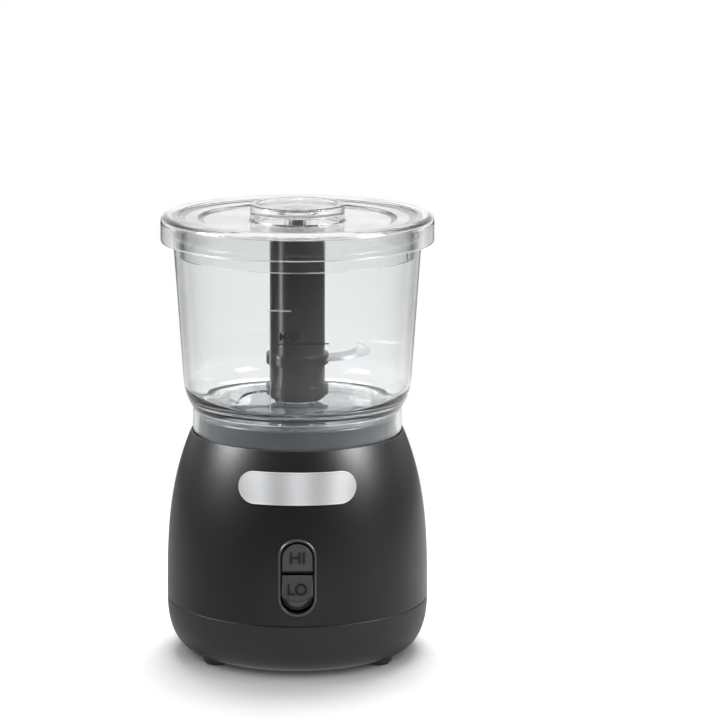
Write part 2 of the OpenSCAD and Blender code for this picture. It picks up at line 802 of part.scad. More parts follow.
module motor_frame() color("#4a4d50") {
    tab_r = push_r - micro_t / 2 - seat - tab_t;
    difference() {
        union() {
            translate([0, 0, frame_under]) cylinder(r = frame_r, h = frame_t);
            at_legs() translate([0, 0, leg_bottom + seat])
                cylinder(r = leg_rad, h = frame_under - leg_bottom - seat + bury);
            at_springs() translate([0, 0, frame_top - bury]) cylinder(r = peg_r, h = peg_h + bury);
            rotate(micro_turn) translate([tab_r, -micro_w / 2, micro_top - micro_h])
                cube([tab_t, micro_w, micro_h + micro_drop + bury]);
        }
        translate([0, 0, frame_under - beyond])
            cylinder(r = bearing_r + bearing_wall + 2 * seat, h = frame_t + 2 * beyond);
        at_posts() translate([0, 0, frame_under - beyond])
            cylinder(r = screw_r + seat, h = frame_t + 2 * beyond);
        at_legs() translate([0, 0, leg_bottom - beyond])
            cylinder(r = screw_r + seat, h = screw_grip + beyond + bury);
        for (side = [-1, 1]) translate([side * can_r / 2, 0, frame_under - beyond])
            cylinder(r = screw_r + seat, h = frame_t + 2 * beyond);
        rotate(micro_turn) {
            translate([push_r - finger_w / 2 - pass, -finger_w / 2 - pass, frame_under - beyond])
                cube([frame_r, finger_w + 2 * pass, frame_t + 2 * beyond]);
            for (side = [-1, 1])
                translate([tab_r - beyond, side * micro_w / 4, micro_top - micro_h / 2]) rotate([0, 90, 0])
                    cylinder(r = rivet_r + seat, h = tab_t + 2 * beyond);
        }
    }
}

module frame_screws() color("#8f9296") at_posts() translate([0, 0, frame_under - head_h - seat]) {
    cylinder(r = head_r, h = head_h);
    translate([0, 0, head_h - bury]) cylinder(r = screw_r, h = frame_t + screw_grip + bury);
}

module motor_can() color("#9ea1a4") difference() {
    union() {
        translate([0, 0, can_bottom]) cylinder(r = can_r, h = can_len - seat);
        translate([0, 0, frame_under - bury]) cylinder(r = bearing_r + bearing_wall, h = boss_rise + bury);
    }
    translate([0, 0, can_bottom - beyond]) cylinder(r = can_r - can_t, h = can_len - can_t + beyond);
    translate([0, 0, frame_under - can_len / 2])
        cylinder(r = bearing_r + seat, h = can_len / 2 + boss_rise - bearing_wall / 2);
    translate([0, 0, frame_under]) cylinder(r = shaft_r + 2 * bury, h = boss_rise + beyond);
    for (side = [-1, 1]) translate([side * can_r / 2, 0, frame_under - can_t - beyond])
        cylinder(r = screw_r + seat, h = can_t + 2 * beyond);
}

module motor_screws() color("#8f9296") for (side = [-1, 1])
    translate([side * can_r / 2, 0, frame_top + seat]) {
        cylinder(r = head_r, h = head_h);
        translate([0, 0, -frame_t - 2 * can_t]) cylinder(r = screw_r, h = frame_t + 2 * can_t + bury);
    }

module motor_magnets() color("#55585b") difference() {
    tube(magnet_r, magnet_r - magnet_t, core_z + core_len / 2 - magnet_len / 2,
        core_z + core_len / 2 + magnet_len / 2);
    translate([-magnet_split / 2, -can_r, can_bottom]) cube([magnet_split, 2 * can_r, can_len]);
}

module motor_end_cap() color("#e4e1d8") difference() {
    pad_r0 = commutator_r + pass;
    pad_top = brush_z - brush_h / 2 - holder_t - 2 * seat;
    union() {
        tube(can_r, magnet_r - magnet_t, cap_bottom, can_bottom - seat);
        tube(magnet_r, magnet_r - magnet_t, can_bottom - bury, can_bottom + magnet_t);
        translate([0, 0, cap_bottom]) cylinder(r = can_r - bury, h = cap_floor);
        translate([0, 0, cap_bottom]) cylinder(r = bearing_r + bearing_wall, h = bearing_h);
        for (side = [-1, 1]) translate([side > 0 ? pad_r0 : -pad_r0 - holder_len, -brush_w / 2, cap_bottom])
            cube([holder_len, brush_w, pad_top - cap_bottom]);
    }
    translate([0, 0, cap_bottom + cap_floor / 2]) cylinder(r = bearing_r + seat, h = can_len / 2);
    translate([0, 0, cap_bottom - beyond]) cylinder(r = shaft_r + 2 * bury, h = can_len);
}

module upper_bearing() color("#b08a4a")
    tube(bearing_r, shaft_r + run, frame_under + boss_rise - bearing_wall / 2 - seat - bearing_h,
        frame_under + boss_rise - bearing_wall / 2 - seat);

module lower_bearing() color("#b08a4a")
    tube(bearing_r, shaft_r + run, cap_bottom + cap_floor / 2 + seat,
        cap_bottom + cap_floor / 2 + seat + bearing_h);

module brush_holders() color("#c8a24c") for (turn = [0, 180]) rotate(turn)
    translate([commutator_r + pass, 0, brush_z]) rotate([90, 0, 90]) linear_extrude(holder_len) difference() {
        square([brush_w + 2 * (seat + holder_t), brush_h + 2 * (seat + holder_t)], center = true);
        square([brush_w + 2 * seat, brush_h + 2 * seat], center = true);
    }

module carbon_brushes() color("#2a2a2a") for (turn = [0, 180]) rotate(turn) difference() {
    translate([0, -brush_w / 2, brush_z - brush_h / 2]) cube([commutator_r + brush_len, brush_w, brush_h]);
    translate([0, 0, brush_z - brush_h]) cylinder(r = commutator_r + run, h = 2 * brush_h);
}

module motor_shaft() color("#b9bcbf") translate([0, 0, shaft_bottom])
    cylinder(r = shaft_r, h = shaft_top - shaft_bottom);

module armature_slots(w, r_in, r_out, z0, z1) {
    for (i = [0:slot_count - 1]) rotate(360 * i / slot_count)
        translate([r_in, -w / 2, z0]) cube([r_out - r_in, w, z1 - z0]);
}

module armature_core() color("#6d7073") difference() {
    tube(core_r, shaft_r + seat, core_z, core_z + core_len);
    armature_slots(armature_slot_w, armature_slot_r, core_r + beyond, core_z - beyond, core_z + core_len + beyond);
}

module copper_windings() color("#b87333") {
    low = core_z - winding_h;
    high = core_z + core_len + winding_h;
    winding_r = core_r - winding_inset;
    tube(winding_r, shaft_r + 2 * bury, low, core_z - seat);
    tube(winding_r, shaft_r + 2 * bury, core_z + core_len + seat, high);
    armature_slots(armature_slot_w - 2 * seat, armature_slot_r + seat, winding_r - bury, low + bury, high - bury);
}

module commutator() color("#b5713a")
    tube(commutator_r, shaft_r + seat, core_z - winding_h - seat - commutator_len, core_z - winding_h - seat);

module cooling_fan() color("#3f4245") difference() {
    union() {
        translate([0, 0, fan_bottom]) cylinder(r = fan_hub_r, h = fan_h);
        translate([0, 0, fan_top - fan_t]) cylinder(r = fan_r, h = fan_t);
        for (i = [0:fan_count - 1]) rotate(360 * i / fan_count)
            translate([fan_hub_r - bury, -fan_t / 2, fan_bottom + bury])
                cube([fan_r - fan_hub_r - bury, fan_t, fan_h - 2 * bury]);
    }
    translate([0, 0, fan_bottom - beyond]) cylinder(r = shaft_r + seat, h = fan_h + 2 * beyond);
}

module drive_coupling() color("#c9cbcd") difference() {
    union() {
        translate([0, 0, deck_under - drive_tail]) cylinder(r = drive_r, h = shaft_top - deck_under + drive_tail);
        translate([0, 0, shaft_top - bury]) cylinder(r = hex_r, h = drive_top - shaft_top + bury, $fn = 6);
    }
    translate([0, 0, deck_under - drive_tail - beyond])
        cylinder(r = shaft_r + seat, h = shaft_top - deck_under + drive_tail + beyond + seat);
}

module shaft_seal() color("#1c1c1c") tube(drive_r + run + seal_t, drive_r + run, deck_under, deck_z + collar_h);

module press_ring() color("#7d8083") {
    tube(ring_out, ring_in, ring_under, ring_top);
    at_pins() translate([0, 0, ring_top - bury]) cylinder(r = push_pin_r, h = foot_z - seat - ring_top + bury);
    rotate(micro_turn) translate([push_r - finger_w / 2, -finger_w / 2, finger_bottom])
        cube([finger_w, finger_w, ring_under - finger_bottom + bury]);
}

// one coil: a round wire swept along a helix between two heights
module coil(z0, z1) {
    sides = 8;
    rows = 16 * spring_turns;
    ring = [for (i = [0:rows], k = [0:sides - 1])
        let (turn = 360 * spring_turns * i / rows, bend = 360 * k / sides,
             rise = z0 + wire_r + (z1 - z0 - 2 * wire_r) * i / rows)
        helix(turn, rise + wire_r * sin(bend), spring_r + wire_r * cos(bend))];
    walls = [for (i = [0:rows - 1], k = [0:sides - 1])
        [i * sides + k, i * sides + (k + 1) % sides,
         (i + 1) * sides + (k + 1) % sides, (i + 1) * sides + k]];
    first = [for (k = [0:sides - 1]) sides - 1 - k];
    last = [for (k = [0:sides - 1]) rows * sides + k];
    polyhedron(ring, concat([first], walls, [last]));
}

module press_springs() color("#b4b7ba") at_springs() coil(frame_top + seat, ring_under - seat);

module micro_switch() color("#26282b") rotate(micro_turn) difference() {
    translate([push_r - micro_t / 2, -micro_w / 2, micro_top - micro_h]) cube([micro_t, micro_w, micro_h]);
    translate([push_r, 0, micro_top - micro_h / 2]) cylinder(r = plunger_r + pass, h = micro_h);
    for (side = [-1, 1])
        translate([push_r - micro_t, side * micro_w / 4, micro_top - micro_h / 2]) rotate([0, 90, 0])
            cylinder(r = rivet_r + seat, h = 2 * micro_t);
}

module switch_plunger() color("#c23b2e") rotate(micro_turn) translate([push_r, 0, 0])
    translate([0, 0, micro_top - micro_h / 2 + press_travel + pass])
        cylinder(r = plunger_r, h = plunger_top - micro_top + micro_h / 2 - press_travel - pass);

module switch_rivets() color("#a8abae") rotate(micro_turn) for (side = [-1, 1])
    translate([push_r - micro_t / 2 - seat - tab_t, side * micro_w / 4, micro_top - micro_h / 2])
        rotate([0, 90, 0]) cylinder(r = rivet_r, h = micro_t + seat + tab_t);

module circuit_board() color("#2f6b45")
    translate([-board_w / 2, board_y, cover_z + wall + board_rise + seat]) cube([board_w, board_t, board_h]);

board_part_z = cover_z + wall + board_rise + board_part_rise;

module filter_capacitor() color("#d9b53c")
    translate([-board_part_gap / 2 - capacitor_w, board_y - seat - capacitor_d, board_part_z])
        cube([capacitor_w, capacitor_d, capacitor_h]);

module bridge_rectifier() color("#222426")
    translate([board_part_gap / 2, board_y - seat - rectifier_d, board_part_z])
        cube([rectifier_w, rectifier_d, rectifier_h]);

module bowl() color("#dfe6e8", 0.45) {
    corner_rows = levels(floor_under, floor_under + corner_h, curve_steps / 2);
    round_z = floor_z + corner_r;
    round_x = bowl_in(round_z) - corner_r;
    round_turns = levels(0, 90, curve_steps / 3);
    rotate_extrude() polygon(concat(
        [[foot_r, foot_z]],
        [for (z = corner_rows) [corner_out(z), z]],
        [[bowl_r, bowl_top], [bowl_r - bowl_wall, bowl_top]],
        [for (turn = round_turns) [round_x + corner_r * cos(turn), round_z - corner_r * sin(turn)]],
        [[post_out, floor_z], [post_out, post_top], [post_in, post_top], [post_in, floor_under],
         [foot_r - bowl_foot_t, floor_under], [foot_r - bowl_foot_t, foot_z]]));
}

// edge of the sickle part of a blade, from inside its collar to its tip and back
function blade_edge(tip_r) =
    let (root_r = (hub_bore + bury + eye_r) / 2,
         rows = levels(0, 1, curve_steps / 2),
         back = levels(1, 0, curve_steps / 2))
    concat([for (u = rows) blade_point(root_r, tip_r, u, 1)],
        [for (u = back) if (u < 1) blade_point(root_r, tip_r, u, -1)]);

// a point on one edge of the blade, a share of the way from root to tip
function blade_point(root_r, tip_r, share, side) =
    let (r = root_r + (tip_r - root_r) * share,
         turn = blade_sweep * pow(share, 1.3),
         half = blade_root_w / 2 * sqrt(max(0, 1 - pow(share, 2.4))))
    [r * cos(turn) - side * half * sin(turn), r * sin(turn) + side * half * cos(turn)];

function blade_tip(z) = bowl_in(z) - blade_gap - (z < floor_z + corner_r ? corner_r / 3 : 0);

// blade at a height and turn, grown by a slip on every side for its seat in the hub
module blade_at(z, turn, spare) {
    thick = blade_t + 2 * spare;
    edge = blade_edge(blade_tip(z));
    rotate(turn) translate([0, 0, z - spare]) difference() {
        union() {
            cylinder(r = eye_r + spare, h = thick);
            for (lean = spare > 0 ? [-spare, 0, spare] : [0]) rotate(lean) linear_extrude(thick) polygon(edge);
        }
        translate([0, 0, -beyond]) cylinder(r = hub_bore + bury - spare, h = thick + 2 * beyond);
    }
}

module blade_hub() color("#1d1e20") difference() {
    union() {
        rotate_extrude() polygon([[hub_bore, hub_bottom], [hub_r, hub_bottom],
            [hub_r, hub_top - beyond], [hub_r - beyond, hub_top], [hub_pin_r, hub_top],
            [hub_pin_r, hub_pin_top - bury], [hub_pin_r - bury, hub_pin_top], [0, hub_pin_top],
            [0, post_top + beyond], [hub_bore, post_top + beyond]]);
        for (z = [lower_blade_z, upper_blade_z])
            tube(hub_r + blade_collar_t, hub_r - bury, z + blade_t / 2 - blade_collar_h / 2,
                z + blade_t / 2 + blade_collar_h / 2);
    }
    translate([0, 0, post_top])
        cylinder(r = hex_r + socket_gap / cos(30), h = drive_h + press_travel, $fn = 6);
    blade_at(lower_blade_z, 180, seat);
    blade_at(upper_blade_z, 0, seat);
}

module lower_blade() color("#cfd2d4") blade_at(lower_blade_z, 180, 0);

module upper_blade() color("#cfd2d4") blade_at(upper_blade_z, 0, 0);

module lid() color("#e6ecee", 0.45) {
    skirt_in = skirt_r - skirt_t;
    round_turns = levels(0, 90, 6);
    knob_in = knob_r - lid_wall;
    rotate_extrude() polygon(concat(
        [[0, dish_z], [knob_r - knob_edge, dish_z], [knob_r - knob_edge + bury, knob_top],
         [knob_r - bury, knob_top], [knob_r, knob_top - bury], [knob_r, inner_top],
         [step_r2 - step_d2 / 2, inner_top], [step_r2, inner_top + step_d2],
         [step_r1 - step_d1 / 2, lid_top - step_d1], [step_r1, lid_top]],
        [for (turn = round_turns) [lid_r - lid_round + lid_round * sin(turn),
            lid_top - lid_round + lid_round * cos(turn)]],
        [[lid_r, lid_top - lid_rim_h], [lid_r - lid_wall, lid_top - lid_rim_h],
         [lid_r - lid_wall, lid_under], [skirt_r, lid_under], [skirt_r, skirt_z], [skirt_in, skirt_z],
         [skirt_in, lid_top - step_d1 - lid_t], [step_r2 - lid_wall / 2, inner_top + step_d2 - lid_t],
         [step_r2 - lid_wall, inner_top - lid_t], [knob_in, inner_top - lid_t], [knob_in, dish_under],
         [lid_boss_r, dish_under], [lid_boss_r, lid_boss_z], [hub_pin_r + pass, lid_boss_z],
         [hub_pin_r + pass, lid_bore_top], [0, lid_bore_top]]));
}

upper_housing();
bottom_cover();
rubber_feet();
cover_screws();
cord_bush();
badge_plate();
speed_rocker();
rocker_pin();
speed_switch();
switch_slider();
motor_frame();
frame_screws();
motor_can();
motor_screws();
motor_magnets();
motor_end_cap();
upper_bearing();
lower_bearing();
brush_holders();
carbon_brushes();
motor_shaft();
armature_core();
copper_windings();
commutator();
cooling_fan();
drive_coupling();
shaft_seal();
press_ring();
press_springs();
micro_switch();
switch_plunger();
switch_rivets();
circuit_board();
filter_capacitor();
bridge_rectifier();
bowl();
blade_hub();
lower_blade();
upper_blade();
lid();
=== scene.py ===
# %% [markdown]
# # A press-to-run food chopper
#
# The object is a clear bowl with a clear lid, standing on a satin black motor base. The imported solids
# are the frame: they fix every size, and they say which body each piece moves with. This lesson dresses
# that frame. Nearly everything is turned, so most pieces are a profile carried round the upright axis.

import bmesh
import bpy
import numpy as np
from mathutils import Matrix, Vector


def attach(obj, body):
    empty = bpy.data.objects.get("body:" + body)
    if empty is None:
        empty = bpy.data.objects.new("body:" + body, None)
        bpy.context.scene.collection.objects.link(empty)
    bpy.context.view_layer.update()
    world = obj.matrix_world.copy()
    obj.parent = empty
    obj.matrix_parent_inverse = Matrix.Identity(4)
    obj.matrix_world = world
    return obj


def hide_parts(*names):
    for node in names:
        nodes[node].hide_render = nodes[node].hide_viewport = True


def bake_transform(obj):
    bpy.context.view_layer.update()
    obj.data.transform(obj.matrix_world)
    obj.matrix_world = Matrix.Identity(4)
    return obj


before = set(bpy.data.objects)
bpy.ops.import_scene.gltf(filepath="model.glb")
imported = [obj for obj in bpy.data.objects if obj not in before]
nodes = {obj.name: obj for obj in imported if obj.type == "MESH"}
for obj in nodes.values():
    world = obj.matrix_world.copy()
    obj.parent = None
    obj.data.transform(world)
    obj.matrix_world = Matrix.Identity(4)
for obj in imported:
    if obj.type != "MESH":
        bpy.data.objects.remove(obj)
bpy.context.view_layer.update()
scene = bpy.context.scene
scene.view_settings.view_transform = "Standard"

# %% [markdown]
# ## Camera
#
# The photograph looks slightly down on the object from well back, with the object left of the middle.
# A long lens gives the flat perspective. Turning the camera could bring the object to its place, but the
# lens shift does it with upright edges that stay upright, as they do in a product picture.

# %% Camera
IMAGE_SIDE = 720
FOCAL_PIXELS = 3392.7
AXIS_PIXEL = 297.4
CAMERA_PITCH = 11.215
CAMERA_PLACE = (0, -1.6296, 0.4678)

camera_data = bpy.data.cameras.new("camera")
camera_data.sensor_width = 36
camera_data.lens = camera_data.sensor_width * FOCAL_PIXELS / IMAGE_SIDE
camera_data.shift_x = (IMAGE_SIDE / 2 - AXIS_PIXEL) / IMAGE_SIDE
camera = bpy.data.objects.new("camera", camera_data)
scene.collection.objects.link(camera)
camera.location = CAMERA_PLACE
camera.rotation_euler = (np.radians(90 - CAMERA_PITCH), 0, 0)
scene.camera = camera
print("camera lens", round(camera_data.lens, 1), "mm")

# %% [markdown]
# ## Node helpers
#
# Shader trees are wordy to write, so a few helpers do it. `add` makes a node and fills its sockets: a
# setting that is named like a socket goes to that socket, `at0` and so on means a socket by number, and
# anything else is a property of the node. A socket passed as a value is linked. `maths`, `ramp` and
# `noise` make the nodes that are needed most, and give back their result.


# %% Node helpers
def add(tree, kind, **settings):
    """Adds a node and sets or links each named socket or property."""
    made = tree.nodes.new(kind)
    for name, value in settings.items():
        label = name.replace("_", " ")
        if name.startswith("at") and name[2:].isdigit():
            socket = made.inputs[int(name[2:])]
        elif label in made.inputs:
            socket = made.inputs[label]
        else:
            setattr(made, name, value)
            continue
        if isinstance(value, bpy.types.NodeSocket):
            tree.links.new(value, socket)
        else:
            socket.default_value = value
    return made


def maths(tree, operation, *values):
    """A math node on numbers or sockets, in the order of its inputs; gives back the result."""
    places = {f"at{place}": value for place, value in enumerate(values)}
    return add(tree, "ShaderNodeMath", operation=operation, **places).outputs[0]


def ramp(tree, value, start, end, low=0.0, high=1.0, kind="SMOOTHSTEP"):
    """Goes from low to high while the value goes from start to end, softly or in a straight line."""
    return add(tree, "ShaderNodeMapRange", interpolation_type=kind, Value=value, From_Min=start,
               From_Max=end, To_Min=low, To_Max=high).outputs[0]


def noise(tree, where, scale, detail, **settings):
    """Cloudy noise at the places given; gives back its strength."""
    made = add(tree, "ShaderNodeTexNoise", Vector=where, Scale=scale, Detail=detail, **settings)
    return made.outputs["Fac"]


print("node helpers ready")

# %% [markdown]
# ## Shared effects
#
# An effect that many finishes share is a node group, built once and placed in each finish with its own
# values. Every group here ends in the same way: a roughness, a bump, and where it has a colour, that
# colour made a little lighter or darker from place to place.


# %% Group functions
def new_group(name, inputs, outputs):
    """An empty shader group with named float, colour or vector sockets; gives back the group, the sockets
    that bring its values in and the sockets that take its results out."""
    kinds = {"f": "NodeSocketFloat", "c": "NodeSocketColor", "v": "NodeSocketVector"}
    group = bpy.data.node_groups.new(name, "ShaderNodeTree")
    for label, kind in inputs.items():
        group.interface.new_socket(label, in_out="INPUT", socket_type=kinds[kind])
    for label, kind in outputs.items():
        group.interface.new_socket(label, in_out="OUTPUT", socket_type=kinds[kind])
    return group, group.nodes.new("NodeGroupInput").outputs, group.nodes.new("NodeGroupOutput").inputs


def end_group(group, given, result, rough, height, shade=None):
    """Ends a group: its roughness, a bump of the depth given, and its colour times the shade."""
    bump = add(group, "ShaderNodeBump", Strength=1.0, Distance=given["Depth"], Height=height)
    group.links.new(rough, result["Roughness"])
    group.links.new(bump.outputs["Normal"], result["Normal"])
    if shade is not None:
        toned = add(group, "ShaderNodeHueSaturation", Value=shade, Color=given["Colour"])
        group.links.new(toned.outputs["Color"], result["Colour"])
    print("group", group.name, "with", len(group.nodes), "nodes")


print("group functions ready")

# %% [markdown]
# ## Shared effect: moulded skin
#
# Moulded plastic is never one flat colour. The tool is spark-eroded, which leaves a fine even grain, and
# the sheen changes slowly over the part. One noise could do for both, but they differ much in size. So
# there is a fine noise for the bump and a broad one, and together they shift the tone and the roughness.

# %% Moulded skin group
moulded_skin, given, result = new_group(
    "moulded_skin", dict(Colour="c", Tone="f", Roughness="f", Spread="f", Grain="f", Depth="f"),
    dict(Colour="c", Roughness="f", Normal="v"))
where = add(moulded_skin, "ShaderNodeTexCoord").outputs["Object"]
fine = noise(moulded_skin, where, scale=given["Grain"], detail=3.0, Roughness=0.65)
broad = noise(moulded_skin, where, scale=22.0, detail=3.0, Roughness=0.5)
swing = maths(moulded_skin, "SUBTRACT", broad, 0.5)
speck = maths(moulded_skin, "SUBTRACT", fine, 0.5)
mixed = maths(moulded_skin, "ADD", swing, speck)
shade = maths(moulded_skin, "MULTIPLY_ADD", mixed, given["Tone"], 1.0)
rough = maths(moulded_skin, "MULTIPLY_ADD", mixed, given["Spread"], given["Roughness"])
end_group(moulded_skin, given, result, rough, fine, shade)

# %% [markdown]
# ## Shared effect: worked metal
#
# Brushing, grinding and turning leave fine lines that all run one way. They could come from a picture of
# scratches, but a noise stretched along the lines never repeats: the group takes a scale for each axis,
# low along the lines and high across them. Broad lighter and darker bands can be added to the colour: this
# is painted reflection, for the bands that a plate that is not quite flat mirrors.

# %% Worked metal group
worked_metal, given, result = new_group(
    "worked_metal", dict(Colour="c", Tone="f", Roughness="f", Spread="f", Lines="v", Depth="f", Bands="f"),
    dict(Colour="c", Roughness="f", Normal="v"))
where = add(worked_metal, "ShaderNodeTexCoord").outputs["Object"]
stretched = add(worked_metal, "ShaderNodeVectorMath", operation="MULTIPLY", at0=where, at1=given["Lines"])
lines = noise(worked_metal, stretched.outputs[0], scale=1.0, detail=4.0, Roughness=0.7)
cloud = noise(worked_metal, where, scale=60.0, detail=2.0)
swing = maths(worked_metal, "SUBTRACT", maths(worked_metal, "MULTIPLY_ADD", cloud, 0.4, lines), 0.7)
# Painted reflection: broad bands of lighter and darker colour, as a plate that is not quite flat mirrors.
wave = add(worked_metal, "ShaderNodeTexWave", wave_type="BANDS", bands_direction="X", Vector=where,
           Scale=16.0, Distortion=1.6, Detail=1.0, Detail_Scale=1.0, Phase_Offset=np.pi)
banded = maths(worked_metal, "SUBTRACT", wave.outputs["Fac"], 0.5)
ground = maths(worked_metal, "MULTIPLY_ADD", banded, given["Bands"], 1.0)
shade = maths(worked_metal, "MULTIPLY_ADD", swing, given["Tone"], ground)
rough = maths(worked_metal, "MULTIPLY_ADD", swing, given["Spread"], given["Roughness"])
end_group(worked_metal, given, result, rough, lines, shade)

# %% [markdown]
# ## Shared effect: handled clear plastic
#
# A polished clear bowl is not perfect: the wall is very slightly wavy from moulding, and handling leaves
# faint smears that scatter a little light. The group gives a roughness that is near zero with soft
# smears, and a normal with a long shallow wave. The wave could be in the mesh too, but as a bump it leaves
# the wall its true thickness.

# %% Handled clear group
handled_clear, given, result = new_group(
    "handled_clear", dict(Roughness="f", Smear="f", Wave="f", Depth="f"), dict(Roughness="f", Normal="v"))
where = add(handled_clear, "ShaderNodeTexCoord").outputs["Object"]
smear = noise(handled_clear, where, scale=45.0, detail=5.0, Roughness=0.6, Distortion=0.8)
patch = ramp(handled_clear, smear, 0.5, 0.75, kind="LINEAR")
rough = maths(handled_clear, "MULTIPLY_ADD", patch, given["Smear"], given["Roughness"])
wave = noise(handled_clear, where, scale=given["Wave"], detail=1.0)
end_group(handled_clear, given, result, rough, wave)

# %% [markdown]
# ## Finishes: plastics and rubber
#
# Each finish could be built by hand in the shader editor. Here one short function for each kind makes them
# from the shared groups, so that all the plastics are built alike, and only the values that set them apart
# are written down. The housing is satin black, the hub is glossier, and rubber and carbon are matt.

# %% Plastics
finishes = {}


def new_finish(name):
    """An empty material, kept under its name; gives back its tree and the sockets of its output node."""
    made = bpy.data.materials.new(name)
    made.use_nodes = True
    made.node_tree.nodes.clear()
    finishes[name] = made
    return made.node_tree, add(made.node_tree, "ShaderNodeOutputMaterial").inputs


def plastic(name, colour, roughness, tone=0.25, spread=0.1, grain=1800.0, depth=0.00002, coat=0.0,
            gloss=0.5):
    """Moulded plastic or rubber: grain in the normal, slow changes in tone and sheen."""
    tree, end = new_finish(name)
    skin = add(tree, "ShaderNodeGroup", node_tree=moulded_skin, Colour=(*colour, 1), Tone=tone,
               Roughness=roughness, Spread=spread, Grain=grain, Depth=depth).outputs
    shader = add(tree, "ShaderNodeBsdfPrincipled", Base_Color=skin["Colour"], Roughness=skin["Roughness"],
                 Normal=skin["Normal"], Coat_Weight=coat, Specular_IOR_Level=gloss)
    tree.links.new(shader.outputs[0], end["Surface"])


plastic("cover_plastic", (0.019, 0.019, 0.0193), 0.46, grain=2600.0, depth=0.00003, gloss=0.28)
plastic("black_plastic", (0.008, 0.008, 0.0083), 0.37, grain=2600.0, depth=0.00003, gloss=0.32)
# Painted reflection: the plinth is as black as the housing, and this grey stands in for the clear foot's haze
# and reflections.
plastic("slate_plastic", (0.042, 0.048, 0.051), 0.2, spread=0.05, grain=2600.0, depth=0.000004)
plastic("rocker_plastic", (0.047, 0.047, 0.049), 0.46, grain=3000.0)
# Painted highlight: the lip is black like the housing, and this lighter colour stands in for the light caught
# on its rounded edge.
plastic("lip_painted_highlight", (0.045, 0.045, 0.046), 0.34, grain=3000.0, gloss=0.6)
# Painted shade: this dark stands in for the shadow in the rocker's groove, below its nose and along its
# letters, which are moulded in the pad's colour.
plastic("rocker_painted_shade", (0.007, 0.007, 0.0073), 0.4, grain=3000.0, gloss=0.32)
plastic("hub_plastic", (0.006, 0.006, 0.0066), 0.22, spread=0.08, depth=0.000008, gloss=0.32)
plastic("mark_ink", (0.012, 0.012, 0.013), 0.4, tone=0.4)
plastic("frosted_mark", (0.42, 0.44, 0.45), 0.5, tone=0.2)
plastic("switch_plastic", (0.04, 0.042, 0.045), 0.55)
plastic("frame_plastic", (0.07, 0.075, 0.08), 0.6, tone=0.35)
plastic("pale_plastic", (0.72, 0.70, 0.62), 0.5, tone=0.12)
plastic("plunger_plastic", (0.50, 0.06, 0.04), 0.4)
plastic("rubber", (0.013, 0.013, 0.013), 0.75, tone=0.4, grain=2200.0, depth=0.00005)
plastic("carbon", (0.02, 0.02, 0.021), 0.6, tone=0.6, grain=3500.0, depth=0.00005)
plastic("board", (0.03, 0.20, 0.08), 0.35, tone=0.3, coat=0.3)
plastic("capacitor", (0.70, 0.48, 0.08), 0.35, tone=0.1)
print("plastics:", len(finishes))

# %% [markdown]
# ## Finishes: clear plastics
#
# Bowl and lid are clear mouldings. A glass shader could do, but clear plastic also swallows a little light
# on its way, so that a wall seen along its length is darker. A volume inside the wall gives that. Bent
# light in the shadow would take very many rays, so the shadow of a clear piece is simply let through.


# %% Clear plastics
def clear_plastic(name, tint, roughness, smear, wave, depth, density):
    """Clear plastic that bends light and swallows a little of it on the way, so that edges seen along the
    wall are darker; its shadow is let through so that what is inside gets light."""
    tree, end = new_finish(name)
    skin = add(tree, "ShaderNodeGroup", node_tree=handled_clear, Roughness=roughness, Smear=smear, Wave=wave,
               Depth=depth).outputs
    shader = add(tree, "ShaderNodeBsdfPrincipled", Base_Color=(*tint, 1), Roughness=skin["Roughness"],
                 Normal=skin["Normal"], IOR=1.5, Transmission_Weight=1.0)
    through = add(tree, "ShaderNodeBsdfTransparent", Color=(*tint, 1))
    path = add(tree, "ShaderNodeLightPath")
    mixed = add(tree, "ShaderNodeMixShader", Fac=path.outputs["Is Shadow Ray"], at1=shader.outputs[0],
                at2=through.outputs[0])
    tree.links.new(mixed.outputs[0], end["Surface"])
    inside = add(tree, "ShaderNodeVolumeAbsorption", Color=(0.5, 0.52, 0.53, 1), Density=density)
    tree.links.new(inside.outputs[0], end["Volume"])


clear_plastic("clear_bowl", (0.965, 0.975, 0.978), roughness=0.012, smear=0.05, wave=14.0, depth=0.0002,
              density=16.0)
clear_plastic("clear_lid", (0.988, 0.990, 0.990), roughness=0.05, smear=0.08, wave=18.0, depth=0.0003,
              density=3.5)
print("with the clear plastics:", len(finishes))

# %% [markdown]
# ## Finishes: metals
#
# The plate is brushed, the blades are ground, and the shaft and the windings have fine lines of their own.
# One shiny grey could do for them all, but the lines of the work tell them apart, so each metal has its own
# scale of lines along the three axes.


# %% Metals
def metal(name, colour, roughness, lines, tone=0.3, spread=0.25, depth=0.00001, anisotropy=0.0, bare=1.0,
          bands=0.0):
    """Worked metal: fine lines along one way in the normal, the tone and the sheen."""
    tree, end = new_finish(name)
    work = add(tree, "ShaderNodeGroup", node_tree=worked_metal, Colour=(*colour, 1), Tone=tone,
               Roughness=roughness, Spread=spread, Lines=lines, Depth=depth, Bands=bands).outputs
    along = add(tree, "ShaderNodeTangent", direction_type="RADIAL", axis="Z")
    shader = add(tree, "ShaderNodeBsdfPrincipled", Base_Color=work["Colour"], Roughness=work["Roughness"],
                 Normal=work["Normal"], Metallic=bare, Anisotropic=anisotropy, Anisotropic_Rotation=0.25,
                 Tangent=along.outputs[0])
    tree.links.new(shader.outputs[0], end["Surface"])


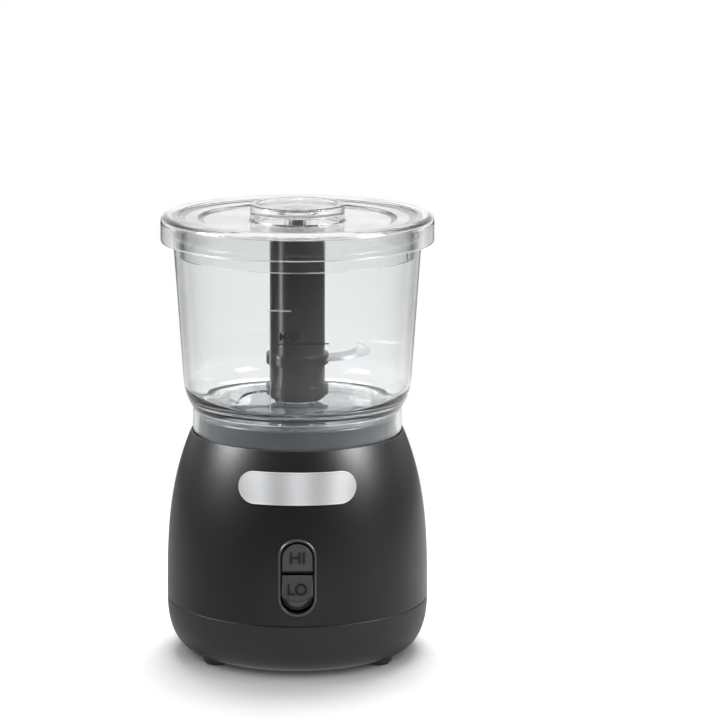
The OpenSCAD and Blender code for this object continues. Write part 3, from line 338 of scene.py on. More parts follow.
# The plate's broad bands are painted reflection.
metal("brushed_plate", (0.565, 0.57, 0.58), 0.7, (60, 900, 9000), tone=0.25, anisotropy=0.4, bare=0.15,
      bands=0.36)
metal("blade_steel", (0.30, 0.305, 0.31), 0.26, (1500, 1500, 300))
metal("drive_steel", (0.58, 0.59, 0.60), 0.3, (200, 200, 5000))
metal("dark_steel", (0.05, 0.05, 0.055), 0.5, (900, 2500, 2500))
metal("screw_steel", (0.45, 0.46, 0.47), 0.35, (2500, 2500, 2500))
metal("motor_steel", (0.42, 0.43, 0.44), 0.4, (700, 700, 900), tone=0.4)
metal("magnet", (0.09, 0.09, 0.10), 0.6, (1800, 1800, 1800), tone=0.6)
metal("bearing_bronze", (0.55, 0.38, 0.16), 0.45, (2500, 2500, 2500), tone=0.5)
metal("copper", (0.60, 0.27, 0.12), 0.3, (300, 300, 4000), tone=0.4)
print("finishes:", len(finishes))

# %% [markdown]
# ## From grid to piece
#
# The Spin tool could turn a profile by hand. Here a surface is a table of points: rows run along a profile,
# columns run round. Each point joins the next in its row and in its column, which gives the quads without
# a loop, and any point can still be moved before the mesh is made.

# %% Grids
MM = 0.001


def grid_faces(rows, cols, close_rows, close_cols):
    """Corner numbers of each quad of a grid, as an array of rows, columns and four corners; the number of a
    point is its row times the number of columns, plus its column."""
    row = np.arange(rows if close_rows else rows - 1)[:, None]
    col = np.arange(cols if close_cols else cols - 1)[None, :]
    next_row = (row + 1) % rows * cols
    next_col = (col + 1) % cols
    return np.stack(np.broadcast_arrays(row * cols + col, row * cols + next_col, next_row + next_col,
                                        next_row + col), axis=-1)


def face_middles(points, close_rows=False, close_cols=True):
    """Middle of each quad of a grid, which is the mean of its four corners, as three tables x, y and z."""
    faces = grid_faces(*points.shape[:2], close_rows, close_cols)
    return np.moveaxis(points.reshape(-1, 3)[faces].mean(axis=2), -1, 0)


def surface(points, close_rows=False, close_cols=True, keep=None):
    """A grid of millimetre points with its quads; `keep` says which of them stay."""
    faces = grid_faces(*points.shape[:2], close_rows, close_cols)
    return points.reshape(-1, 3), (faces.reshape(-1, 4) if keep is None else faces[keep])


def moved(made, shift):
    """The same surface in another place."""
    return made[0] + np.asarray(shift, float), made[1]


print("a grid of 3 by 4 points closed round has", grid_faces(3, 4, False, True).size // 4, "quads")

# %% [markdown]
# `join` puts one or more such grids into a mesh, merges the poles and seams and turns the faces outwards.
# `fasten` puts the mesh on the body that carries it, and `make_piece` does both and says which solids the
# piece stands for.

# %% Pieces
SAME_PLACE = 0.002 * MM


def join(name, surfaces, crease):
    """One closed mesh in metres from surfaces in millimetres; edges that bend by more than the crease, in
    degrees, stay sharp."""
    starts = np.cumsum([0] + [len(points) for points, _ in surfaces])
    points = np.concatenate([points for points, _ in surfaces])
    faces = np.concatenate([faces + start for (_, faces), start in zip(surfaces, starts)])
    used, faces = np.unique(faces, return_inverse=True)
    mesh = bpy.data.meshes.new(name)
    mesh.from_pydata((points[used] * MM).tolist(), [], faces.reshape(-1, 4).tolist())
    shape = bmesh.new()
    shape.from_mesh(mesh)
    bmesh.ops.remove_doubles(shape, verts=shape.verts, dist=SAME_PLACE)
    bmesh.ops.recalc_face_normals(shape, faces=shape.faces)
    shape.to_mesh(mesh)
    shape.free()
    mesh.shade_smooth()
    mesh.set_sharp_from_angle(angle=np.radians(crease))
    return mesh


def fasten(name, mesh, body, slot, finish=None, reach=None):
    """Makes a mesh a piece on its body, with the finish of its slot or one of its own. With `reach` it is
    fastened to no body, and its place is baked into its mesh."""
    mesh.materials.append(finishes[finish or slot])
    piece = bpy.data.objects.new(name, mesh)
    scene.collection.objects.link(piece)
    if reach:
        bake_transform(piece)
    else:
        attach(piece, body)
    print("piece", name, len(mesh.polygons), "faces on", body)
    return piece


def make_piece(name, surfaces, body, slot, stands_for=(), crease=35, finish=None, reach=None):
    """Joins surfaces, fastens the piece and hides the solids that it stands for."""
    piece = fasten(name, join(name, surfaces, crease), body, slot, finish, reach)
    if stands_for:
        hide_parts(*stands_for)
    return piece


print("piece functions ready")

# %% [markdown]
# ## Profiles with rounded corners
#
# No moulded corner is sharp, and the rounded edge is what catches the light. A Bevel modifier could round
# the finished mesh, but it gives every corner the same size. Here a profile is written as its corners,
# each with the size of its rounding, and `bend` turns every corner into a short curve. Two extra points
# just outside each curve keep the flat stretches flat when the shading is smoothed.

# %% Rounded corners
MOST_OF_SIDE = 0.45
JUST_OUTSIDE = 1.1
LEAST_STEP = 1e-4


def bend(corners, closed=True, steps=6):
    """Rounds each corner (r, z, size): the curve is the corner plus the way back times (1-t) squared
    plus the way on times t squared, which is a parabola that touches both sides."""
    table = np.asarray(corners, float)
    spot = table[:, :2]
    size = table[:, 2:]
    back = np.roll(spot, 1, axis=0) - spot
    on = np.roll(spot, -1, axis=0) - spot
    back_len = np.linalg.norm(back, axis=1, keepdims=True)
    on_len = np.linalg.norm(on, axis=1, keepdims=True)
    spot = spot[:, None]
    back_cut = (back / back_len * np.minimum(size, MOST_OF_SIDE * back_len))[:, None]
    on_cut = (on / on_len * np.minimum(size, MOST_OF_SIDE * on_len))[:, None]
    t = np.linspace(0, 1, steps)[None, :, None]
    curve = spot + (1 - t) ** 2 * back_cut + t ** 2 * on_cut
    line = np.concatenate([spot + JUST_OUTSIDE * back_cut, curve, spot + JUST_OUTSIDE * on_cut], axis=1)
    line = line.reshape(-1, 2)
    step = np.linalg.norm(np.diff(line, axis=0, prepend=line[-1:]), axis=1)
    if not closed:
        step[0] = 1
    return line[step > LEAST_STEP]


square = [(1, 0, 0.2), (2, 0, 0.2), (2, 1, 0.2), (1, 1, 0.2)]
print("a square with rounded corners has", len(bend(square)), "points")

# %% [markdown]
# A profile becomes a piece when it is carried round the upright axis, as on a lathe. `ring` does it for a
# closed profile that leaves a hole down the middle, and `disc` for one that starts and ends on the axis.


# %% Turned surfaces
def full_turn(count):
    """Angles that go evenly round a circle."""
    return np.linspace(0, 2 * np.pi, count, endpoint=False)


def swung(x, y, angle, z):
    """Points turned about the upright axis: x cos a - y sin a, x sin a + y cos a, and z as it is."""
    return np.stack(np.broadcast_arrays(x * np.cos(angle) - y * np.sin(angle),
                                        x * np.sin(angle) + y * np.cos(angle), z), axis=-1)


def turned(profile, angles=None):
    """A profile carried round the upright axis: x = r cos a, y = r sin a, z = z."""
    return swung(profile[:, :1], 0, full_turn(240) if angles is None else angles, profile[:, 1:])


def ring(corners, angles=None, steps=6):
    """A closed turned piece with a hole down its middle."""
    return surface(turned(bend(corners, steps=steps), angles), close_rows=True)


def disc(corners, angles=None, steps=6):
    """A turned piece that starts and ends on the axis."""
    return surface(turned(bend(corners, closed=False, steps=steps), angles))


def unrounded(r, z):
    """Corners with no rounding, for a stretch that is already a curve."""
    return np.stack(np.broadcast_arrays(r, z, 0.0), axis=1)


print("that square carried round has", len(ring(square)[1]), "quads")

# %% [markdown]
# ## Lid
#
# The lid is one clear moulding: a shallow plate with two rings stepped into it, a deep rim that hangs
# outside the bowl, a thin skirt that enters the bowl, and a raised knob with a shallow dish. It is a
# single profile from the middle of the dish round to the socket that guides the blade hub. A Screw modifier
# could turn it, but as a table of points it can still be changed, as the ribs below need.

# %% Lid
SKIRT_R = 57.43
RIB_ENDS_Z = (203.3, 203.0, 198.6, 198.3)
lid_corners = [
    (0, 220.64, 0), (18.7, 220.64, 0.8), (19.6, 222.24, 0.6), (23, 222.24, 0.9), (23, 214.24, 0.8),
    (47.4, 214.24, 0.6), (48.3, 215.34, 0.5), (57.5, 215.94, 0.5), (58.4, 217.04, 0.5), (66.5, 217.04, 3.5),
    (66.5, 204.34, 0.7), (64.5, 204.34, 0.7), (64.5, 214.64, 0.9), (SKIRT_R, 214.64, 0.4),
    *[(SKIRT_R, z, 0) for z in RIB_ENDS_Z],
    (SKIRT_R, 197.5, 0.6), (55.63, 197.5, 0.6), (55.63, 213.54, 1.0), (47.2, 212.94, 0.5),
    (46.2, 211.84, 0.6), (21, 211.84, 0.8), (21, 218.24, 0.9), (6.5, 218.24, 0.6), (6.5, 210.84, 0.5),
    (3.25, 210.84, 0.4), (3.25, 217.89, 0.3), (0, 217.89, 0)]
lid_profile = bend(lid_corners, closed=False, steps=5)
print("lid profile:", len(lid_profile), "points, radius up to", lid_profile[:, 0].max(), "mm")

# %% [markdown]
# Four small upright ribs on the skirt centre the lid in the bowl. They could be boxes stuck into the skirt,
# but in a clear lid the faces inside the wall would show. So a few extra columns are placed close together
# at each rib, and the points of the skirt there are pushed out.

# %% Lid ribs
RIB_TURN = -116.2
RIB_PROUD = 0.35
RIB_HALF_W = 0.42
RIB_REACH = 0.45
RIB_SLOPE = 0.12


def share_of(part, whole):
    """The part over the whole, kept from 0 to 1."""
    return np.clip(part / whole, 0, 1)


rib_turn = np.radians(RIB_TURN + 90 * np.arange(4))
rib_columns = (rib_turn[:, None] + np.linspace(-RIB_REACH, RIB_REACH, 9) / SKIRT_R).ravel() % (2 * np.pi)
lid_angles = np.sort(np.concatenate([full_turn(360), rib_columns]))
from_rib = np.abs((lid_angles[:, None] - rib_turn + np.pi) % (2 * np.pi) - np.pi).min(axis=1) * SKIRT_R
lid_r, lid_z = lid_profile.T
rib_rows = (np.abs(lid_r - SKIRT_R) < 0.01) & (lid_z > RIB_ENDS_Z[3] + 0.1) & (lid_z < RIB_ENDS_Z[0] - 0.1)
rib = RIB_PROUD * rib_rows[:, None] * share_of(RIB_HALF_W - from_rib, RIB_SLOPE)
lid_points = turned(lid_profile, lid_angles) + swung(rib, 0, lid_angles, 0)
lid = make_piece("lid_shell", [surface(lid_points)], "lid_unit", "clear_lid", ["lid"])

# %% [markdown]
# ## Bowl
#
# The bowl flares a little towards its rim, rounds in at the bottom and stands on a straight foot. A hollow
# post in the middle lets the drive come up through the floor and stay dry. A Solidify modifier could give a
# single surface its thickness, but here the wall and the floor differ in theirs. So the profile goes round
# both sides, and its rounded lower edge follows the same power curve as the solid.

# %% Bowl
BOWL_RIM_R = 61.05
BOWL_FLARE = 6.15
BOWL_FOOT_R = 51.25
BOWL_RIM_Z = 214.6
BOWL_FLOOR_TOP = 125.1
BOWL_FLOOR_UNDER = 122.5
BOWL_FOOT_Z = 107.1
BOWL_CORNER_H = 15.5
BOWL_CORNER_POWER = 2.5
BOWL_RIM_WALL = 2
INNER_FLAT_R = 43.73
INNER_CORNER_R = 10
BOWL_POST_R = 10.98
BOWL_POST_BORE_R = 9.08
BOWL_POST_TOP = 151.1
FOOT_INNER_R = 48.85


def bowl_radius(z):
    """Outer radius of the bowl: a straight flare, drawn in to the foot over the lowest stretch by the share
    of that stretch that is left, to a power."""
    wall = BOWL_RIM_R - BOWL_FLARE * (BOWL_RIM_Z - z) / (BOWL_RIM_Z - BOWL_FLOOR_UNDER)
    left = np.clip(1 - (z - BOWL_FLOOR_UNDER) / BOWL_CORNER_H, 0, 1)
    return wall - (BOWL_RIM_R - BOWL_FLARE - BOWL_FOOT_R) * left ** BOWL_CORNER_POWER


outside_z = np.concatenate([np.linspace(BOWL_FLOOR_UNDER + 0.6, 138, 22), np.linspace(142, 210, 12)])
lower_turn = np.radians(np.linspace(0, 90, 14))
bowl_corners = np.concatenate([
    [(BOWL_FOOT_R, BOWL_FOOT_Z, 0.6), (BOWL_FOOT_R, BOWL_FLOOR_UNDER, 0.3)],
    unrounded(bowl_radius(outside_z), outside_z),
    [(BOWL_RIM_R, BOWL_RIM_Z, 0.7), (BOWL_RIM_R - BOWL_RIM_WALL, BOWL_RIM_Z, 0.7)],
    unrounded(INNER_FLAT_R + INNER_CORNER_R * np.cos(lower_turn),
              BOWL_FLOOR_TOP + INNER_CORNER_R - INNER_CORNER_R * np.sin(lower_turn)),
    [(BOWL_POST_R, BOWL_FLOOR_TOP, 1.2), (BOWL_POST_R, BOWL_POST_TOP, 0.6),
     (BOWL_POST_BORE_R, BOWL_POST_TOP, 0.6), (BOWL_POST_BORE_R, BOWL_FLOOR_UNDER, 0.6),
     (FOOT_INNER_R, BOWL_FLOOR_UNDER, 0.9), (FOOT_INNER_R, BOWL_FOOT_Z, 0.6)]])
bowl = make_piece("bowl_shell", [ring(bowl_corners, full_turn(480))], "bowl_unit", "clear_bowl", ["bowl"])

# %% [markdown]
# ## Blade hub
#
# The hub is a tall black sleeve that drops over the bowl post. Two collars hold the blades, and a pin at
# the top turns in the socket of the lid. It could be stacked from cylinders, but one turned profile leaves
# no hidden faces between them.

# %% Blade hub
SLEEVE_R = 13.5
COLLAR_R = 15.3
hub_corners = [
    (0, 215.29, 0), (2.9, 215.29, 0.5), (2.9, 208.04, 0.4), (SLEEVE_R, 208.04, 1.2), (SLEEVE_R, 148.9, 0.4),
    (COLLAR_R, 148.9, 0.6), (COLLAR_R, 143.7, 0.6), (SLEEVE_R, 143.7, 0.4), (SLEEVE_R, 133.7, 0.4),
    (COLLAR_R, 133.7, 0.6), (COLLAR_R, 128.5, 0.6), (SLEEVE_R, 128.5, 0.3), (SLEEVE_R, 127.1, 0.4),
    (11.48, 127.1, 0.3), (11.48, 152.1, 0.3), (6.25, 152.1, 0.3), (6.25, 166.1, 0.3), (0, 166.1, 0)]
hub = make_piece("hub_sleeve", [disc(hub_corners)], "blade_unit", "hub_plastic", ["blade_hub"])

# %% [markdown]
# ## Blades
#
# Each blade is a flat steel sickle with one long ground bevel. It could be cut from a plate, but the bevel
# has to follow the edge, so a section is carried along the blade instead. Along the blade the middle line
# turns as it goes out and the width closes to nothing at the tip. Across it, the section is a flat bar whose
# leading side is ground down to an edge.

# %% Blades
BLADE_ROOT_R = 13.2
BLADE_SWEEP = 52
BLADE_HALF_W = 7.5
BLADE_THICK = 1.2
BEVEL_W = 3.0
EDGE_THICK = 0.12
SWEEP_POWER = 1.3
TAPER_POWER = 2.4
EYE_R = (12.0, 14.4)


def sickle(tip_r, z, turn):
    """Rows go from root to tip, columns round the section. The middle turns by the sweep times the share
    to a power, and the half width shrinks with the root of 1 less the share to another power."""
    share = np.sin(np.linspace(0, np.pi / 2, 60))[:, None]
    out = BLADE_ROOT_R + (tip_r - BLADE_ROOT_R) * share
    bearing = np.radians(turn + BLADE_SWEEP * share ** SWEEP_POWER)
    half = BLADE_HALF_W * np.sqrt(np.clip(1 - share ** TAPER_POWER, 0, 1))
    bevel = np.minimum(half, BEVEL_W)
    across = np.concatenate([half, half, -half + bevel, -half, -half], axis=1)
    return surface(swung(out, across, bearing, z + np.array([0, BLADE_THICK, BLADE_THICK, EDGE_THICK, 0])))


def blade_eye(z):
    """The ring of the blade that the collar of the hub holds."""
    inner, outer = EYE_R
    top = z + BLADE_THICK
    return ring([(inner, z, 0), (outer, z, 0), (outer, top, 0), (inner, top, 0)])


for name, node, tip_r, z, turn in (("blade_low", "lower_blade", 46.1, 130.5, 180),
                                   ("blade_high", "upper_blade", 50.45, 145.7, 0)):
    make_piece(name, [sickle(tip_r, z, turn), blade_eye(z)], "blade_unit", "blade_steel", [node], crease=12)

# %% [markdown]
# ## Upper housing
#
# The black housing is a turned shell too. Its wall comes in slowly and then fast towards the rim, by a power
# of the height. Rings could be scaled by eye to that form, but a formula also tells the lip and the plate
# where the wall is. The profile goes on over the rim, down into the groove for the bowl foot, over the
# plinth and back inside, so the shell is closed.

# %% Housing profile
SEAM_Z = 27.3
SEAM_R = 64.35
RIM_Z = 110.5
RIM_R = 52.2
HOUSING_POWER = 2.9
HOUSING_WALL = 2.4


def housing_radius(z):
    """Radius of the housing: it goes from the seam's to the rim's with the share of the height to a power."""
    return SEAM_R - (SEAM_R - RIM_R) * share_of(z - SEAM_Z, RIM_Z - SEAM_Z) ** HOUSING_POWER


wall_z = np.concatenate([np.linspace(28.2, 31, 5), np.linspace(31.4, 72, 100), np.linspace(73, 109.9, 36)])
inner_z = np.concatenate([np.linspace(101.8, 73, 16), np.linspace(72, 31.4, 100),
                          np.linspace(30, SEAM_Z + 0.25, 3)])
housing_corners = np.concatenate([
    [(SEAM_R, SEAM_Z + 0.25, 0.35)],
    unrounded(housing_radius(wall_z), wall_z),
    [(RIM_R, RIM_Z, 0.25), (51.6, RIM_Z, 0.25), (51.6, 104.3, 0.5), (48.3, 104.3, 0.5), (48.3, 119.9, 1.6),
     (8.58, 119.9, 0.6), (8.58, 124.1, 0.5), (7.38, 124.1, 0.3), (7.38, 117.4, 0.3), (45.9, 117.4, 0.8),
     (45.9, 101.8, 0.5)],
    unrounded(housing_radius(inner_z) - HOUSING_WALL, inner_z)])
housing_profile = bend(housing_corners, steps=5)
print("housing profile:", len(housing_profile), "points, from", SEAM_Z, "mm up to", RIM_Z, "mm at the rim")

# %% [markdown]
# The speed rocker needs an opening in the front. A boolean could cut it, but would leave long thin faces
# that shade badly. So the columns are closer together at the front, the quads inside the opening are left
# out, and a raised lip covers their edge. Four posts for the motor frame hang inside the shell.

# %% Upper housing
SLOT_Z = 51.3
SLOT_HALF_W = 8.1
SLOT_HALF_H = 17.7
HIDDEN_BY_LIP = 0.45
OUTER_WALL_R = 58
POST_PLACE_R = 41.95


def outside_slot(x, z, half_w, half_h):
    """How far a point lies outside an upright opening with round ends: its distance from the middle line of
    the opening, less half the width."""
    return np.hypot(x, np.maximum(np.abs(z) - (half_h - half_w), 0)) - half_w


front_angles = np.sort(np.radians(np.concatenate([np.arange(-81, 261, 1.9), np.arange(-99, -81, 0.36)])))
shell = turned(housing_profile, front_angles)
cell_x, cell_y, cell_z = face_middles(shell, close_rows=True)
in_slot = outside_slot(cell_x, cell_z - SLOT_Z, SLOT_HALF_W, SLOT_HALF_H) < HIDDEN_BY_LIP
front_wall = (cell_y < 0) & (np.hypot(cell_x, cell_y) > OUTER_WALL_R)
frame_post = ring([(1.54, 88.84, 0.1), (3.6, 88.84, 0.3), (3.6, 117.9, 0.1), (1.54, 117.9, 0.1)],
                  full_turn(40), steps=3)
post_places = POST_PLACE_R * np.array([(1, 0, 0), (0, 1, 0), (-1, 0, 0), (0, -1, 0)])
housing_parts = [surface(shell, close_rows=True, keep=~(in_slot & front_wall))]
housing_parts += [moved(frame_post, place) for place in post_places]
housing = make_piece("housing_shell", housing_parts, "base", "black_plastic", ["upper_housing"]).data

# %% [markdown]
# The plinth that the bowl stands over reads as a slate band through the clear foot. It is one moulding with
# the black housing, so it is no piece of its own. Its faces get a second, slate grey finish, which is painted
# reflection: it stands in for the haze and reflections of the clear foot in front of it.

# %% Plinth
PLINTH_R = 48.9
PLINTH_LOW = 104.5


def face_spots(mesh):
    """Middle of each face of a mesh, in millimetres, as three rows x, y and z."""
    spots = np.empty(len(mesh.polygons) * 3)
    mesh.polygons.foreach_get("center", spots)
    return spots.reshape(-1, 3).T / MM


def refinish(mesh, chosen, finish):
    """Gives the chosen faces of a mesh a second finish."""
    mesh.materials.append(finishes[finish])
    mesh.polygons.foreach_set("material_index", chosen.astype(np.int32))
    print("second finish", finish, "on", int(chosen.sum()), "faces")


spot_x, spot_y, spot_z = face_spots(housing)
# Painted reflection on the plinth faces, which are seen through the clear foot.
refinish(housing, (np.hypot(spot_x, spot_y) < PLINTH_R) & (spot_z > PLINTH_LOW), "slate_plastic")

# %% [markdown]
# ## Lip round the rocker
#
# The lip is a small profile carried round the outline of the opening. A bevelled curve could do that on a
# flat wall, but this wall bulges: each point of the outline is laid on the housing by its height, and the
# profile then goes out across the surface and up from it.


# %% Lip
def round_ended(length, radius, arc_count=24, side_count=14):
    """Outline with two straight sides and two round ends, as points and outward directions: a half circle
    about each end of the middle line, and a side from one to the other."""
    half = length / 2
    a = np.linspace(-np.pi / 2, np.pi / 2, arc_count)
    out = np.stack([np.cos(a), np.sin(a)], axis=1)
    end = out * radius + [half, 0]
    side = np.stack([np.linspace(half, -half, side_count + 2)[1:-1], np.full(side_count, radius)], axis=1)
    side_out = np.tile([0.0, 1.0], (side_count, 1))
    return np.concatenate([end, side, -end, -side]), np.concatenate([out, side_out, -out, -side_out])


def laid_on(radius, x, z, lift):
    """Points laid on the front of a turned piece: out is its radius for the height plus the lift, and y is
    minus the root of out squared less x squared."""
    x, z, out = np.broadcast_arrays(x, z, radius(z) + lift)
    return np.stack([x, -np.sqrt(out ** 2 - x ** 2), z], axis=-1)


path, path_out = round_ended(2 * (SLOT_HALF_H - SLOT_HALF_W), SLOT_HALF_W)
lip_section = bend([(0, -3.2, 0.1), (0, 0.8, 0.35), (0.95, 0.8, 0.45), (1.3, -0.25, 0.15), (1.2, -3.2, 0.1)])
track = path[None] + lip_section[:, None, :1] * path_out[None]
lip_points = laid_on(housing_radius, track[..., 1], SLOT_Z + track[..., 0], lip_section[:, 1:])
# The lip's lighter finish is painted highlight on black plastic.
make_piece("rocker_lip", [surface(lip_points, close_rows=True)], "base", "black_plastic",
           finish="lip_painted_highlight")

# %% [markdown]
# ## Speed rocker
#
# The rocker has two pads with a groove between them, a little above the pivot. The upper pad is pressed in
# and the lower one stands out, with a nose that slopes back below a curved edge. The face could be
# sculpted. As a formula, a depth for each place across and up from the pivot, it also tells the letters
# where to lie.

# %% Rocker face
PIVOT_Y = -60.02
PAD_HALF_W = 7.5
PAD_HALF_H = 16.5
PAD_DEPTH = 3.5
LEAST_DEPTH = 0.7
PAD_EDGE_R = 0.7
END_CENTRE_S = PAD_HALF_H - PAD_HALF_W
UPPER_SLOPE = 0.5 / 13.3
LOWER_SLOPE = 2.5 / 12.3
SLOPE_START = 0.9
NOSE_S = -10.9
NOSE_CURVE = 1.7 / 5.7 ** 2
NOSE_SLOPE = 0.6
NOSE_STEP = 0.7
NOSE_STEP_H = 0.35
END_FLAT_R = 5.0
END_START_H = 3
END_FALL = 1.1
END_POWER = 1.25
GROOVE_S = 2.3
GROOVE_HALF_H = 1.1
GROOVE_SIDE = 0.12
GROOVE_DEPTH = 2.8
SOFT_HALF_H = 1.5
SOFT_SIDE = 0.45
SOFT_DEPTH = 0.18


def below_nose(x, s):
    """Distance below the curved edge of the nose, which rises with the square of the place across."""
    return np.clip(NOSE_S + NOSE_CURVE * x ** 2 - s, 0, None)


def pad_depth(x, s):
    """Distance of the rocker face in front of the pivot, at a place across and up from it: one slope for
    each pad, less the nose below a curved edge, the rounded lower end, the groove and the upper end."""
    upper = PAD_DEPTH - UPPER_SLOPE * (s - GROOVE_S - SLOPE_START)
    lower = PAD_DEPTH + LOWER_SLOPE * (GROOVE_S - SLOPE_START - s)
    face = np.where(s > GROOVE_S, upper, lower)
    nose = below_nose(x, s)
    face = face - NOSE_SLOPE * nose - NOSE_STEP * share_of(nose, NOSE_STEP_H)
    from_end = np.clip(-END_CENTRE_S - s, 0, None)
    fall = np.clip(np.hypot(x, from_end) - END_FLAT_R, 0, None) * share_of(from_end, END_START_H)
    face = face - END_FALL * fall ** END_POWER
    near_end = share_of(s - (PAD_HALF_H - PAD_EDGE_R), PAD_EDGE_R)
    face = face - PAD_EDGE_R * (1 - np.sqrt(1 - near_end ** 2))
    from_groove = np.abs(s - GROOVE_S)
    soft_edge = share_of(SOFT_HALF_H - from_groove, SOFT_SIDE)
    groove = share_of(GROOVE_HALF_H - from_groove, GROOVE_SIDE)
    return np.maximum(face - SOFT_DEPTH * soft_edge ** 2 - GROOVE_DEPTH * groove, LEAST_DEPTH)


print("rocker face:", *[round(float(pad_depth(0.0, s)), 2) for s in (-10.0, GROOVE_S, 10.0)], "mm deep")

# %% [markdown]
# Rows run up the rocker, closest together at the nose, the groove and the round ends. Columns run round
# its section: up one side, over a rounded edge, across the face and down the other side. The groove and
# the step below the nose get a dark finish, which is painted shade for the shadow that falls into them.

# %% Rocker
BACK_DEPTH = 0.6
DARK_STEP_H = 0.6
DARK_STEP_HALF_W = 5.6

end_s = END_CENTRE_S + PAD_HALF_W * np.sin(np.linspace(0, np.pi / 2, 26))
edge_s = np.array([0.0, 0.5, 0.9, 0.98, 1.1, 1.15, 1.25, 1.35, 1.5])
groove_s = GROOVE_S + np.concatenate([-edge_s[:0:-1], edge_s])
nose_s = np.linspace(-12.5, -8.8, 38)
lower_end = np.arcsin((-nose_s[0] + 0.1 - END_CENTRE_S) / PAD_HALF_W)
lower_end_s = END_CENTRE_S + PAD_HALF_W * np.sin(np.linspace(np.pi / 2, lower_end, 22))
lower_s = np.linspace(nose_s[-1] + 0.2, GROOVE_S - 1.65, 38)
upper_s = np.linspace(GROOVE_S + 1.65, END_CENTRE_S - 0.2, 20)
rocker_s = np.concatenate([-lower_end_s, nose_s, lower_s, groove_s, upper_s, end_s])[:, None]
past_centre = np.clip(np.abs(rocker_s) - END_CENTRE_S, 0, None)
half_width = np.sqrt(np.clip(PAD_HALF_W ** 2 - past_centre ** 2, 0, None))
edge = np.minimum(PAD_EDGE_R, half_width)
corner = np.linspace(0, np.pi / 2, 6)[None, :]
left_x = -half_width + edge * (1 - np.cos(corner))
left_sink = edge * (1 - np.sin(corner))
face_x = (half_width - edge) * np.linspace(-1, 1, 63)[None, 1:-1]
front_x = np.concatenate([left_x, face_x, -left_x[:, ::-1]], axis=1)
sink = np.concatenate([left_sink, 0 * face_x, left_sink[:, ::-1]], axis=1)
back = np.full_like(half_width, BACK_DEPTH)
rocker_x = np.concatenate([-half_width, front_x, half_width], axis=1)
rocker_d = np.concatenate([back, pad_depth(front_x, rocker_s) - sink, back], axis=1)
rocker_points = np.stack([rocker_x, PIVOT_Y - rocker_d, SLOT_Z + rocker_s + 0 * rocker_x], axis=-1)
pads = make_piece("rocker_pads", [surface(rocker_points)], "rocker_unit", "rocker_plastic",
                  ["speed_rocker"], crease=28).data
pad_x, _, pad_z = face_spots(pads)
pad_s = pad_z - SLOT_Z
pad_nose = below_nose(pad_x, pad_s)
in_groove = np.abs(pad_s - GROOVE_S) < GROOVE_HALF_H + 0.02
on_step = (pad_nose > 0) & (pad_nose < DARK_STEP_H) & (np.abs(pad_x) < DARK_STEP_HALF_W)
# Painted shade in the groove and on the step below the nose.
refinish(pads, in_groove | on_step, "rocker_painted_shade")

# %% [markdown]
# ## Letters and marks
#
# The switch says HI and LO in raised letters of the pad's colour, and the bowl has a plain fill mark. The
# letters here are darker than the pad, which is painted shade for the shadow along their edges. The letters
# start as Blender text and become a flat mesh. A Shrinkwrap modifier could press them on, but they would
# lose their thickness. So the formula of the surface lays them on: sideways stays sideways, upwards stays
# upwards, and the third direction is the distance from the face.


# %% Letters
def letter_mesh(name, words, width, height, raise_by):
    """Text as a mesh, and its points in millimetres as three rows, centred and at the size given."""
    curve = bpy.data.curves.new(name + "_curve", "FONT")
    curve.body = words
    curve.extrude = 0.05
    curve.bevel_depth = 0.012
    curve.bevel_resolution = 1
    curve.offset = 0.012
    source = bpy.data.objects.new(name + "_source", curve)
    scene.collection.objects.link(source)
    bpy.context.view_layer.update()
    mesh = bpy.data.meshes.new_from_object(source.evaluated_get(bpy.context.evaluated_depsgraph_get()))
    bpy.data.objects.remove(source)
    mesh.name = name
    mesh.materials.clear()
    spots = np.empty(len(mesh.vertices) * 3)
    mesh.vertices.foreach_get("co", spots)
    spots = spots.reshape(-1, 3)
    low = spots.min(axis=0)
    size = spots.max(axis=0) - low
    return mesh, (((spots - low) / size - [0.5, 0.5, 0.0]) * [width, height, raise_by]).T


def lay_letters(name, mesh, points, body, slot, finish):
    """Puts the laid points back into the mesh and fastens the letters to their body."""
    mesh.vertices.foreach_set("co", (points * MM).ravel())
    mesh.update()
    fasten(name, mesh, body, slot, finish)


LETTER_SUNK = 0.1
for name, words, middle_s, width in (("rocker_hi", "HI", 9.8, 7.2), ("rocker_lo", "LO", -5.2, 9.3)):
    mesh, (across, up, out) = letter_mesh(name, words, width, height=5.6, raise_by=0.5)
    depth = pad_depth(across, up + middle_s) + out - LETTER_SUNK
    points = np.stack([across, PIVOT_Y - depth, SLOT_Z + middle_s + up], axis=1)
    # The letters' dark finish is painted shade.
    lay_letters(name, mesh, points, "rocker_unit", "rocker_plastic", "rocker_painted_shade")

# %% [markdown]
# The fill mark is printed on the bowl: a word with a line below it. It could be a picture on the wall, but
# as thin ink of its own it stays sharp from close by. The function that laid the lip on the housing lays it
# on the bowl.

# %% Fill mark on the bowl
INK_SUNK = 0.02
INK_PROUD = 0.06
LINE_HALF_H = 0.28
LINE_Z = 163.6
WORD_Z = 167.1
WORD_X = -3.6

mesh, (across, up, out) = letter_mesh("fill_word", "MAX", width=9.6, height=4.2, raise_by=0.05)
lay_letters("fill_word", mesh, laid_on(bowl_radius, across + WORD_X, up + WORD_Z, out + INK_SUNK),
            "bowl_unit", "black_plastic", "mark_ink")

line_x = np.linspace(-9.2, 14.9, 40)
line_up = LINE_HALF_H * np.array([1, 1, -1, -1])[:, None]
line_lift = np.array([INK_SUNK, INK_PROUD, INK_PROUD, INK_SUNK])[:, None]
line_points = laid_on(bowl_radius, line_x, LINE_Z + line_up, line_lift)
make_piece("fill_line", [surface(line_points, close_rows=True, close_cols=False)], "bowl_unit",
           "black_plastic", finish="mark_ink")

